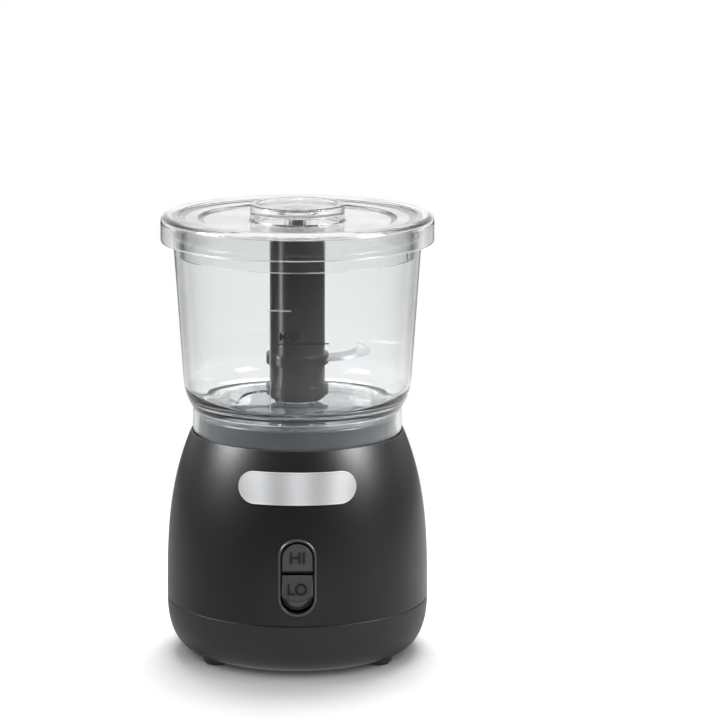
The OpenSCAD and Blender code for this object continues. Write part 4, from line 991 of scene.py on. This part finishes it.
# %% [markdown]
# A fine raised line also runs up the front of the bowl, with a tick at its top. It is moulded frosted, so
# it reads pale against what is behind it. A bevelled curve could draw it, but as a grid it can be laid on
# the bowl in the same way as the ink.

# %% Measure line
BEAD_R = 0.22
BEAD_FLAT = 0.6
MEASURE_X = -12.95
TICK_Z = 179.7

bead_side = BEAD_R * np.cos(full_turn(12))
bead_lift = BEAD_FLAT * BEAD_R * np.sin(full_turn(12))
rise = laid_on(bowl_radius, MEASURE_X + bead_side, np.linspace(129.7, 179.6, 80)[:, None], bead_lift)
tick = laid_on(bowl_radius, np.linspace(-14.3, -3.0, 24)[:, None], TICK_Z + bead_side, bead_lift)
make_piece("measure_line", [surface(rise), surface(tick)], "bowl_unit", "clear_bowl", crease=80,
           finish="frosted_mark")

# %% [markdown]
# ## Front plate
#
# A thin brushed plate with round ends is set on the front. It could be a flat plate that a modifier bends.
# Here it is a set of loops, each one the outline drawn in by a little more, so that the raised edge, the
# small step and the flat middle all follow the outline, and every point is laid on the housing.

# %% Front plate
PLATE_Z = 93.5
PLATE_W = 56.4
PLATE_H = 15.0
PLATE_THICK = 0.7
plate_path, plate_out = round_ended(PLATE_W - PLATE_H, PLATE_H / 2, arc_count=28, side_count=34)
plate_steps = np.array([
    (0, -0.3), (0, 0.6), (0.05, 0.78), (0.15, 0.88), (0.27, 0.9), (0.39, 0.87), (0.48, 0.76), (0.58, 0.72),
    *[(drawn_in, PLATE_THICK) for drawn_in in (1, 2, 4, 6, PLATE_H / 2)]])
plate_track = plate_path[None] - plate_steps[:, None, :1] * plate_out[None]
plate_points = laid_on(housing_radius, plate_track[..., 0], PLATE_Z + plate_track[..., 1], plate_steps[:, 1:])
make_piece("plate_face", [surface(plate_points)], "base", "brushed_plate", ["badge_plate"], crease=50)

# %% [markdown]
# ## Bottom cover
#
# The cover closes the base below the seam, and its edge turns in to a flat underside. A bevelled cylinder
# could come near to it, but the solid has a quarter of an oval with a power. So the profile has the same
# curve, once for the outside and once for the inside.

# %% Cover profile
VENT_R = (11.0, 25.0)
COVER_UNDER = 2.0
COVER_TOP = 4.4
COVER_FLAT_R = 50
COVER_POWER = 2 / 2.3


def cover_edge(width, end_z):
    """Profile from the seam in to the flat, a quarter of an oval: the cosine to a power times the width
    outside the flat, and the sine to the same power times the height below the seam."""
    sweep = np.radians(np.linspace(0, 90, 40)[1:])
    return np.stack([COVER_FLAT_R + width * np.cos(sweep) ** COVER_POWER,
                     SEAM_Z - (SEAM_Z - end_z) * np.sin(sweep) ** COVER_POWER], axis=1)


flat_r = np.concatenate([np.linspace(49, 26, 24), np.linspace(VENT_R[1], VENT_R[0], 8), [8.0, 4.0, 0.0]])
edge_out = cover_edge(SEAM_R - COVER_FLAT_R, COVER_UNDER)
edge_in = cover_edge(SEAM_R - COVER_FLAT_R - HOUSING_WALL, COVER_TOP)[::-1]
cover_outside = np.concatenate([
    [(61.7, 30.05), (64.0, 27.05), (64.25, 27.0)], edge_out[edge_out[:, 1] < 26.8],
    unrounded(flat_r, COVER_UNDER)[:, :2]])
cover_inside = np.concatenate([
    unrounded(flat_r[::-1], COVER_TOP)[:, :2], edge_in[edge_in[:, 1] < 23.0], [(60.2, 24.05), (60.2, 30.05)]])
print("cover profile:", len(cover_outside), "points outside,", len(cover_inside), "inside")

# %% [markdown]
# The underside has a star of vent slots with straight sides. Booleans could cut them. Here the columns of
# the grid bend so that they run along the slots, which keeps the edges clean, and the quads inside the slots
# are left out, as are those at the screw wells and the cord inlet.

# %% Cover grid
VENTS = 12
VENT_HALF_W = 1.2
SIDE_CELLS = 8
SLOT_CELLS = 3
SCREW_PLACE = (26, 32)
WELL_R = 3.6
INLET_Z = 14.5
INLET_R = 5.9
FLOOR_BELOW_Z = 5
BACK_FROM_Y = 50
vent_middles = 2 * np.pi / VENTS * (np.arange(VENTS) + 0.5)


def vent_columns(profile):
    """Angles of the columns for each row: in every sector they go evenly up to the slot, across it and on.
    Half the slot's angle is the angle whose sine is half its width over the radius."""
    slot_turn = np.arcsin(VENT_HALF_W / np.clip(profile[:, :1], *VENT_R))
    half = np.pi / VENTS
    side = (half - slot_turn) * np.linspace(0, 1, SIDE_CELLS, endpoint=False)
    across = slot_turn * np.linspace(-1, 1, SLOT_CELLS, endpoint=False)
    sector = np.concatenate([side - half, across, side + slot_turn], axis=1)
    return (sector[:, None, :] + vent_middles[None, :, None]).reshape(len(profile), -1)


cover_points = np.concatenate([turned(part, vent_columns(part)) for part in (cover_outside, cover_inside)])
cell_x, cell_y, cell_z = face_middles(cover_points, close_rows=True)
cell_r = np.hypot(cell_x, cell_y)
column = np.arange(cell_x.shape[1]) % (2 * SIDE_CELLS + SLOT_CELLS)
vent_column = (column >= SIDE_CELLS) & (column < SIDE_CELLS + SLOT_CELLS)
vent = (cell_r > VENT_R[0]) & (cell_r < VENT_R[1]) & vent_column
well = np.hypot(np.abs(cell_x) - SCREW_PLACE[0], np.abs(cell_y) - SCREW_PLACE[1]) < WELL_R
inlet = (np.hypot(cell_x, cell_z - INLET_Z) < INLET_R) & (cell_y > BACK_FROM_Y)
opened = ((vent | well) & (cell_z < FLOOR_BELOW_Z)) | inlet
cover_parts = [surface(cover_points, close_rows=True, keep=~opened)]
print("cover:", opened.size, "quads,", int(opened.sum()), "of them left out")

# %% [markdown]
# Walls line the vent slots through the floor. Bosses for the feet, wells for the screws and a boss for the
# cord inlet belong to the same moulding. They could be joined to the floor point by point, but nothing of
# that would be seen, so each one is a turned shape that stands in the floor.

# %% Cover fittings
FOOT_PLACE = (39.5, 31)
small_turn = full_turn(64)


def at_corners(made, x, y):
    """The same surface at four places, left and right, front and back."""
    return [moved(made, (x * side_x, y * side_y, 0)) for side_x in (-1, 1) for side_y in (-1, 1)]


def along_y(made, z):
    """A turned surface laid down so that its axis runs to the back at the height given: x stays, the old
    height is the new y, and the new height is z less the old y."""
    points = made[0]
    return np.stack([points[:, 0], points[:, 2], z - points[:, 1]], axis=1), made[1]


vent_r = flat_r[(flat_r >= VENT_R[0]) & (flat_r <= VENT_R[1])]
vent_side = np.arcsin(VENT_HALF_W / vent_r)
vent_loop_r = np.concatenate([vent_r, vent_r[::-1]])
vent_loop_turn = np.concatenate([vent_side, -vent_side[::-1]])
vent_levels = np.array([COVER_UNDER, COVER_TOP])[:, None]
cover_parts += [surface(swung(vent_loop_r, 0, vent_loop_turn + middle, vent_levels))
                for middle in vent_middles]

foot_boss = ring([(5.64, 1.5, 0.2), (6.64, 1.5, 0.35), (6.64, 6.0, 0.2), (5.64, 6.0, 0.2)], small_turn,
                 steps=4)
foot_roof = disc([(0, 3.54, 0), (6.0, 3.54, 0), (6.0, 6.0, 0.2), (0, 6.0, 0)], small_turn, steps=3)
screw_well = ring([(2.84, 1.95, 0.2), (4.5, 1.95, 0.2), (4.5, 23.3, 0.3), (1.54, 23.3, 0.2),
                   (1.54, 20.3, 0.1), (2.84, 20.3, 0.1)], small_turn, steps=4)
inlet_boss = ring([(5.44, 64.1, 0.2), (8.4, 64.1, 0.6), (8.4, 53.6, 0.2), (5.44, 53.6, 0.2)], small_turn,
                  steps=5)
cover_parts += at_corners(foot_boss, *FOOT_PLACE) + at_corners(foot_roof, *FOOT_PLACE)
cover_parts += at_corners(screw_well, *SCREW_PLACE) + [along_y(inlet_boss, INLET_Z)]
make_piece("cover_shell", cover_parts, "base", "black_plastic", ["bottom_cover"], finish="cover_plastic")

# %% [markdown]
# The feet are soft rubber with a worn rounded edge and a hollow below, and a rubber bush lines the cord
# inlet. Bevelled cylinders could do, but a turned profile also gives the hollow and the collar of the bush.

# %% Feet and bush
foot = disc([(0, 3.5, 0), (5.6, 3.5, 0.4), (5.6, 1.4, 0.3), (5.3, 0, 0.9), (3.6, 0, 0.3), (3.3, 0.5, 0.3),
             (0, 0.5, 0)], small_turn)
make_piece("foot_pads", at_corners(foot, *FOOT_PLACE), "base", "rubber", ["rubber_feet"])
bush = ring([(3.6, 66.04, 0.7), (7.0, 66.04, 0.8), (7.0, 64.14, 0.3), (5.4, 64.14, 0.2), (5.4, 53.14, 0.5),
             (3.6, 53.14, 0.5)], small_turn)
make_piece("inlet_bush", [along_y(bush, INLET_Z)], "base", "rubber", ["cord_bush"])

# %% [markdown]
# ## Press springs
#
# Three small springs lift the press ring. Each one is a round wire carried along a helix. A Screw modifier
# could wind it, but as one grid of points its ends can be closed. In the base the lower end sits on the motor
# frame and the upper end on the ring, so the coils close up when the lid is pressed. Here the three springs
# are one piece that is fastened to no body, with its place baked into its mesh.

# %% Press springs
SPRING_R = 2.0
WIRE_R = 0.35
SPRING_TURNS = 4.5
SPRING_LOW = 88.84
SPRING_HIGH = 98.72
SPRING_PLACE_R = 49.95


def spring_coil(place_turn):
    """The middle of the wire goes round SPRING_TURNS times while it rises evenly; the wire closes to a point
    at its ends."""
    share = np.concatenate([[0.0], np.linspace(0, 1, 145), [1.0]])[:, None]
    thick = np.full_like(share, WIRE_R)
    thick[[0, -1]] = 0
    round_wire = full_turn(12)
    turn = 2 * np.pi * SPRING_TURNS * share
    r = SPRING_R + thick * np.cos(round_wire)
    rise = (SPRING_HIGH - SPRING_LOW - 2 * WIRE_R) * share
    z = SPRING_LOW + WIRE_R + rise + thick * np.sin(round_wire)
    return surface(swung(SPRING_PLACE_R + r * np.cos(turn), r * np.sin(turn), place_turn, z))


make_piece("spring_coils", [spring_coil(a) for a in np.radians([90, 210, 330])], "base", "drive_steel",
           ["press_springs"], reach=("press_unit", (0, 0, SPRING_LOW * MM), (0, 0, SPRING_HIGH * MM)))

# %% [markdown]
# ## Inner pieces
#
# The solids of the motor, the switches, the press ring and the drive could be modelled again with rounded
# edges. They are inside, and they have the right shape, so they stay and only get their finishes.

# %% Inner pieces
inner_finishes = {
    "drive_steel": ["drive_coupling", "motor_shaft", "switch_rivets"],
    "dark_steel": ["rocker_pin"],
    "screw_steel": ["cover_screws", "frame_screws", "motor_screws"],
    "motor_steel": ["motor_can", "armature_core"],
    "magnet": ["motor_magnets"],
    "bearing_bronze": ["upper_bearing", "lower_bearing", "brush_holders"],
    "copper": ["copper_windings", "commutator"],
    "carbon": ["carbon_brushes"],
    "frame_plastic": ["motor_frame", "press_ring", "cooling_fan"],
    "switch_plastic": ["speed_switch", "micro_switch", "bridge_rectifier"],
    "pale_plastic": ["motor_end_cap", "switch_slider"],
    "plunger_plastic": ["switch_plunger"],
    "rubber": ["shaft_seal"],
    "board": ["circuit_board"],
    "capacitor": ["filter_capacitor"],
}
for finish, names in inner_finishes.items():
    for name in names:
        for holder in nodes[name].material_slots:
            holder.material = finishes[finish]
shown = [name for name, made in nodes.items() if not made.hide_render]
dressed = sum(inner_finishes.values(), [])
print("inner nodes dressed:", len(dressed), "left bare:", sorted(set(shown) - set(dressed)))

# %% [markdown]
# ## Floor
#
# The object stands on a plain white surface that keeps a soft shadow. Further out the surface fades to
# plain white, so that it has no edge. That white is for the eye only: for rays from the camera, and for
# rays that have passed through clear walls without being mirrored. A second floor that only the camera sees
# could do it, but the Light Path node already knows what each ray has met.


# %% Rays
def straight_look(tree):
    """What Light Path says, then 1 for a ray from the camera that nothing has mirrored or scattered, and 1
    for a ray that has been inside clear plastic and was not scattered."""
    path = add(tree, "ShaderNodeLightPath").outputs
    turns = maths(tree, "ADD", path["Glossy Depth"], path["Diffuse Depth"])
    unturned = maths(tree, "LESS_THAN", turns, 0.5)
    looks = maths(tree, "MAXIMUM", path["Is Camera Ray"], path["Is Transmission Ray"])
    straight = maths(tree, "MULTIPLY", looks, unturned)
    clean = maths(tree, "LESS_THAN", path["Diffuse Depth"], 0.5)
    entered = maths(tree, "GREATER_THAN", path["Transmission Depth"], 0.5)
    return path, straight, maths(tree, "MULTIPLY", clean, entered)


print("ray function ready")

# %% [markdown]
# Mirrored rays see the matt surface, which darkens away from the object as a table in a studio does. Two
# parts of it stay bright: the strip right in front, for mirrored rays, which lightens the turned-in lower
# edge of the base, and the part behind, for rays that are inside clear plastic, which lights the thick edges
# of the bowl and the lid.


# %% Floor finish
def length_of(tree, vector):
    """Length of a vector: the root of the sum of its squares."""
    return add(tree, "ShaderNodeVectorMath", operation="LENGTH", at0=vector).outputs["Value"]


tree, end = new_finish("studio_floor")
where = add(tree, "ShaderNodeTexCoord").outputs["Object"]
distance = length_of(tree, where)
outwards = add(tree, "ShaderNodeVectorMath", operation="NORMALIZE", at0=where)
bearing = add(tree, "ShaderNodeSeparateXYZ", Vector=outwards.outputs[0]).outputs
path, straight, inside = straight_look(tree)
mirrored = path["Is Glossy Ray"]

paper = noise(tree, where, scale=30.0, detail=3.0)
tone = ramp(tree, paper, 0.0, 1.0, 0.87, 0.91, kind="LINEAR")
table = ramp(tree, distance, 0.42, 0.85, 1.0, 0.12)
widened = add(tree, "ShaderNodeVectorMath", operation="MULTIPLY", at0=where, at1=(2.0, 1.0, 1.0))
lean = ramp(tree, bearing["X"], -0.5, 0.7, -0.55, -0.25, kind="LINEAR")
pool = ramp(tree, length_of(tree, widened.outputs[0]), 0.11, 0.2, 0.0, lean)
dimmer = maths(tree, "MULTIPLY_ADD", mirrored, pool, 1.0)
sheet = maths(tree, "MULTIPLY", tone, table)
matt = add(tree, "ShaderNodeBsdfDiffuse", Color=maths(tree, "MULTIPLY", sheet, dimmer))

plain = maths(tree, "MULTIPLY", straight, ramp(tree, distance, 0.19, 0.34))
lit_wall = maths(tree, "MULTIPLY", ramp(tree, bearing["Y"], 0.74, 0.93), inside)
before = ramp(tree, bearing["Y"], -0.5, -0.95, 0.0, mirrored)
lit_front = ramp(tree, distance, 0.16, 0.1, 0.0, before)
lit = maths(tree, "MAXIMUM", lit_front, lit_wall)
white = add(tree, "ShaderNodeEmission", Color=(1, 1, 1, 1), Strength=1.0)
mixed = add(tree, "ShaderNodeMixShader", Fac=maths(tree, "MAXIMUM", plain, lit), at1=matt.outputs[0],
            at2=white.outputs[0])
tree.links.new(mixed.outputs[0], end["Surface"])
print("floor finish with", len(tree.nodes), "nodes")

# %% [markdown]
# The floor itself is a single square, far wider than the picture.

# %% Floor
FLOOR_HALF = 4
floor_corners = [(x * FLOOR_HALF, y * FLOOR_HALF, 0) for x, y in ((-1, -1), (1, -1), (1, 1), (-1, 1))]
floor_mesh = bpy.data.meshes.new("studio_floor")
floor_mesh.from_pydata(floor_corners, [], [(0, 1, 2, 3)])
floor_mesh.materials.append(finishes["studio_floor"])
floor = bpy.data.objects.new("studio_floor", floor_mesh)
scene.collection.objects.link(floor)
print("floor", 2 * FLOOR_HALF, "m wide")

# %% [markdown]
# ## Light
#
# A picture of a studio could light the object, but single lamps can be put where the photograph shows their
# highlights. Two square soft boxes stand high on the left and right, a little in front of the object, and
# give the broad highlights on the shoulders of the base. A large box high behind it makes the soft shadow,
# and one high in front lights the tops. A small strip on the left draws the upright streak on the hub, and
# three low cards near the floor lighten the lower part of the base. Light linking keeps a lamp off the clear
# pieces where its mirror image would be a hard white patch.


# %% Lamps
def soft_box(name, place, aim, width, height, watts):
    """A rectangular lamp at a place, turned to face a point."""
    lamp = bpy.data.lights.new(name, "AREA")
    lamp.shape = "RECTANGLE"
    lamp.size = width
    lamp.size_y = height
    lamp.energy = watts
    made = bpy.data.objects.new(name, lamp)
    scene.collection.objects.link(made)
    made.location = place
    direction = Vector(aim) - Vector(place)
    made.rotation_euler = direction.to_track_quat("-Z", "Y").to_euler()
    made.visible_camera = False
    return made


def link_light(lamp, state, *pieces):
    """Says which pieces a lamp reaches: only these, with INCLUDE, or all but these, with EXCLUDE."""
    group = bpy.data.collections.new(lamp.name + "_pieces")
    for piece in pieces:
        group.objects.link(piece)
    for member in group.collection_objects:
        member.light_linking.link_state = state
    lamp.light_linking.receiver_collection = group


AIM_Z = 0.12
back_box = soft_box("back_box", (0.06, 0.5, 1.0), (0, 0, 0.1), width=0.8, height=0.6, watts=14)
link_light(back_box, "EXCLUDE", lid)
for name, place, width, height, watts in (
        ("left_box", (-0.77, -0.13, 0.58), 0.33, 0.33, 20),
        ("right_box", (0.71, -0.30, 0.58), 0.32, 0.33, 19),
        ("high_box", (0.0, -0.5, 1.12), 0.45, 0.3, 5),
        ("left_strip", (-0.57, -0.185, 0.075), 0.06, 0.08, 1.2),
        ("front_card", (0.0, -0.22, 0.009), 0.24, 0.016, 0.022),
        ("left_card", (-0.44, -0.24, 0.018), 0.42, 0.036, 0.002),
        ("right_card", (0.44, -0.24, 0.018), 0.42, 0.036, 0.034)):
    is_card = name.endswith("card")
    lamp = soft_box(name, place, (0, 0, place[2] if is_card else AIM_Z), width, height, watts)
    lamp.visible_diffuse = False
    if is_card:
        link_light(lamp, "EXCLUDE", lid, bowl)
    if name == "left_strip":
        link_light(lamp, "INCLUDE", hub)

# %% [markdown]
# The world is white to the eye, and gives matt surfaces an even light. For mirrored rays it runs from dark
# in front to white behind, and for rays that have been inside clear plastic it is never quite dark. One
# plain white could do for all of them, but then the black base would mirror it and look grey.

# %% World
EVEN_LIGHT = 0.72
CLEAR_GLOW = 0.45
ROOM_LEAN = 0.12
ROOM_DARK = 0.07

world = bpy.data.worlds.new("studio_world")
scene.world = world
world.use_nodes = True
world.cycles.sampling_method = "NONE"
tree = world.node_tree
tree.nodes.clear()
direction = add(tree, "ShaderNodeTexCoord").outputs["Generated"]
facing = add(tree, "ShaderNodeSeparateXYZ", Vector=direction).outputs
turned_to = maths(tree, "MULTIPLY_ADD", facing["X"], ROOM_LEAN, facing["Y"])
room = ramp(tree, turned_to, -0.15, 0.85, ROOM_DARK, 1.0)
path, straight, inside = straight_look(tree)
bright = maths(tree, "MAXIMUM", room, maths(tree, "MULTIPLY", inside, CLEAR_GLOW))
seen = maths(tree, "MAXIMUM", bright, straight)
even = add(tree, "ShaderNodeBackground", Color=(1, 1, 1, 1), Strength=EVEN_LIGHT)
backdrop = add(tree, "ShaderNodeBackground", Color=(1, 1, 1, 1), Strength=seen)
mixed = add(tree, "ShaderNodeMixShader", Fac=path["Is Diffuse Ray"], at1=backdrop.outputs[0],
            at2=even.outputs[0])
add(tree, "ShaderNodeOutputWorld", Surface=mixed.outputs[0])
print("world with", len(tree.nodes), "nodes")
